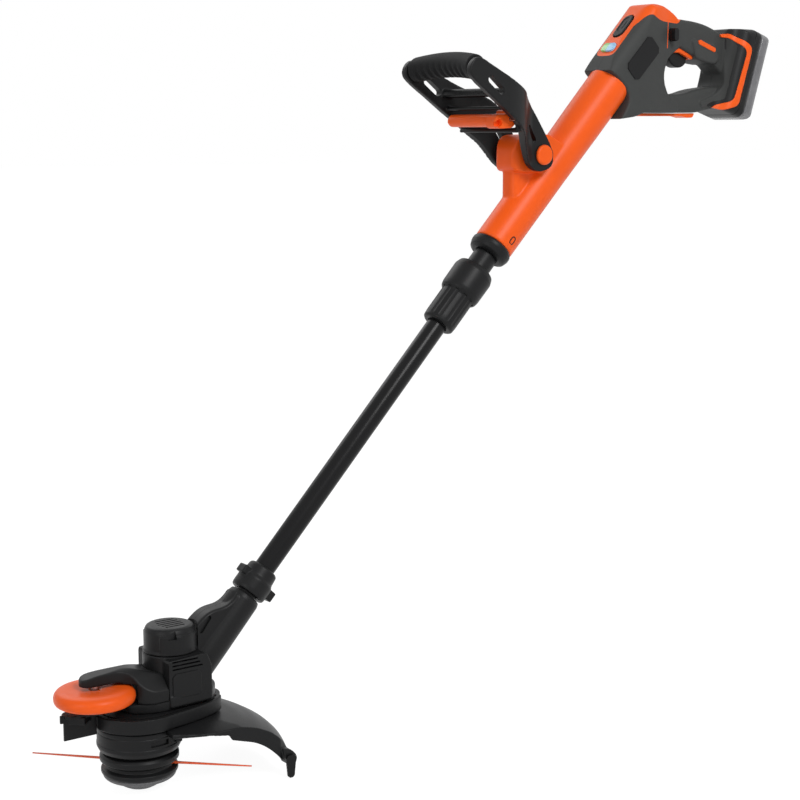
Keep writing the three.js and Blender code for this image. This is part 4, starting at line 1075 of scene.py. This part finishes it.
class AddBattery(bpy.types.Operator):
    """Adds the battery's case and its clear end"""

    bl_idname = "trimmer.add_battery"
    bl_label = "Battery"

    def execute(self, context):
        shell = self.case(5.3, 17, 1, 3) - block(8.5, 30, -33, 33, -46, 61, ON_PACK)
        rails = block(-1, 6, -12, 12, -43.5, 50, ON_PACK) + block(-1, 2, -26.5, 26.5, -43.5, 50, ON_PACK)
        shell += rails - block(-3, 1.5, -10.5, 10.5, -60, 30, ON_PACK)
        shell.stands_for("pack_shell")
        end = self.case(17.3, 34, 16, 24) - block(10, 31, -32, 32, -45, 59, ON_PACK)
        end -= block(24, 40, -11.3, 11.3, 52, 70, ON_PACK)
        for i in range(3):
            end -= block(30.4, 31.5, -30 + 21 * i, -12 + 21 * i, -42, 58, ON_PACK)
        end.stands_for("pack_end")
        return {"FINISHED"}

    def case(self, low, high, corner_radius, rounds):
        """A slice of the battery between two depths"""
        plan = rounded(mirrored([(low, -36, 1), (high - 1, -36, 9), (high, -28, 4)]))
        bottom, top = -53.5, 65.5
        side = rounded([(low, bottom), (high, bottom, corner_radius), (high, top, corner_radius), (low, top)])
        case = raised(plan, bottom, top, place=ON_PACK) & slab(side, -60, 60, place=ON_PACK)
        case &= raised(rounded([(-36, bottom, 14), (36, bottom, 14), (36, top, 14), (-36, top, 14)], 10), -20, 60,
            place=ON_PACK @ ALONG)
        return case.melted(0.9, rounds) - block(-20, low, -60, 60, -90, 90, ON_PACK)


class AddCasings(bpy.types.Operator):
    """Adds the small mouldings, softened from their plain solids"""

    bl_idname = "trimmer.add_casings"
    bl_label = "Small mouldings"

    def execute(self, context):
        for node, voxel, rounds in (
            ("cutter_blade", 0.4, 4), ("wheel_fin", 0.6, 2), ("lock_button", 0.5, 4), ("bottom_trim", 0.5, 4),
            ("trigger_trim", 0.4, 3), ("pack_button", 0.5, 4), ("rear_badge", 0.45, 2), ("head_badge", 0.45, 2),
        ):
            from_node(node).melted(voxel, rounds).stands_for(node)
        return {"FINISHED"}


class AddControls(bpy.types.Operator):
    """Adds the power button and the lamp lens on the sloping cover"""

    bl_idname = "trimmer.add_controls"
    bl_label = "Controls"

    def execute(self, context):
        button = raised(stadium(0, 0, 38, 17), -6, 1.6, 1.0, ON_SLOPE)
        button = (button - raised(stadium(2, 0, 25, 11), 0.9, 4, 0, ON_SLOPE)).melted(0.45, 3)
        button += raised(stadium(2, 0, 13, 3.2), 0.4, 1.3, 0.3, ON_SLOPE)
        button.stands_for("power_button")
        window = raised(grown(rounded(AddRear.lens), -0.2), -3, 0.9, 0.8, ON_SLOPE)
        window.stands_for("lamp_window")
        return {"FINISHED"}


class AddInnerParts(bpy.types.Operator):
    """Gives the carried-over solids their finishes"""

    bl_idname = "trimmer.add_inner_parts"
    bl_label = "Inner parts"

    def execute(self, context):
        for name, node in frame["nodes"].items():
            if node.hide_render:
                continue
            if node.data.materials:
                node.material_slots[0].material = finish_of(SLOT_OF[name])
            else:
                node.data.materials.append(finish_of(SLOT_OF[name]))
        return {"FINISHED"}


PIECES = (AddStage, AddLine, AddSpool, AddDrum, AddWheel, AddShaft, AddUpperTube, AddHandle, AddGuard, AddHead,
    AddRear, AddBattery, AddCasings, AddControls, AddInnerParts)


class TrimmerPanel(bpy.types.Panel):
    """Lists the trimmer's sizes, colours and pieces"""

    bl_idname = "VIEW3D_PT_trimmer"
    bl_label = "Trimmer"
    bl_space_type = "VIEW_3D"
    bl_region_type = "UI"
    bl_category = "Trimmer"

    def draw(self, context):
        for group in (context.scene.trimmer_sizes, context.scene.trimmer_colours):
            for name in type(group).__annotations__:
                self.layout.prop(group, name)
        for piece in PIECES:
            self.layout.operator(piece.bl_idname)


CLASSES = (TrimmerSizes, TrimmerColours, *PIECES, TrimmerPanel)


def register():
    for made in CLASSES:
        bpy.utils.register_class(made)
    bpy.types.Scene.trimmer_sizes = bpy.props.PointerProperty(type=TrimmerSizes)
    bpy.types.Scene.trimmer_colours = bpy.props.PointerProperty(type=TrimmerColours)


def unregister():
    del bpy.types.Scene.trimmer_colours
    del bpy.types.Scene.trimmer_sizes
    for made in reversed(CLASSES):
        bpy.utils.unregister_class(made)


def main():
    register()
    for piece in PIECES:
        group, name = piece.bl_idname.split(".")
        getattr(getattr(bpy.ops, group), name)()


if __name__ == "__main__":
    main()
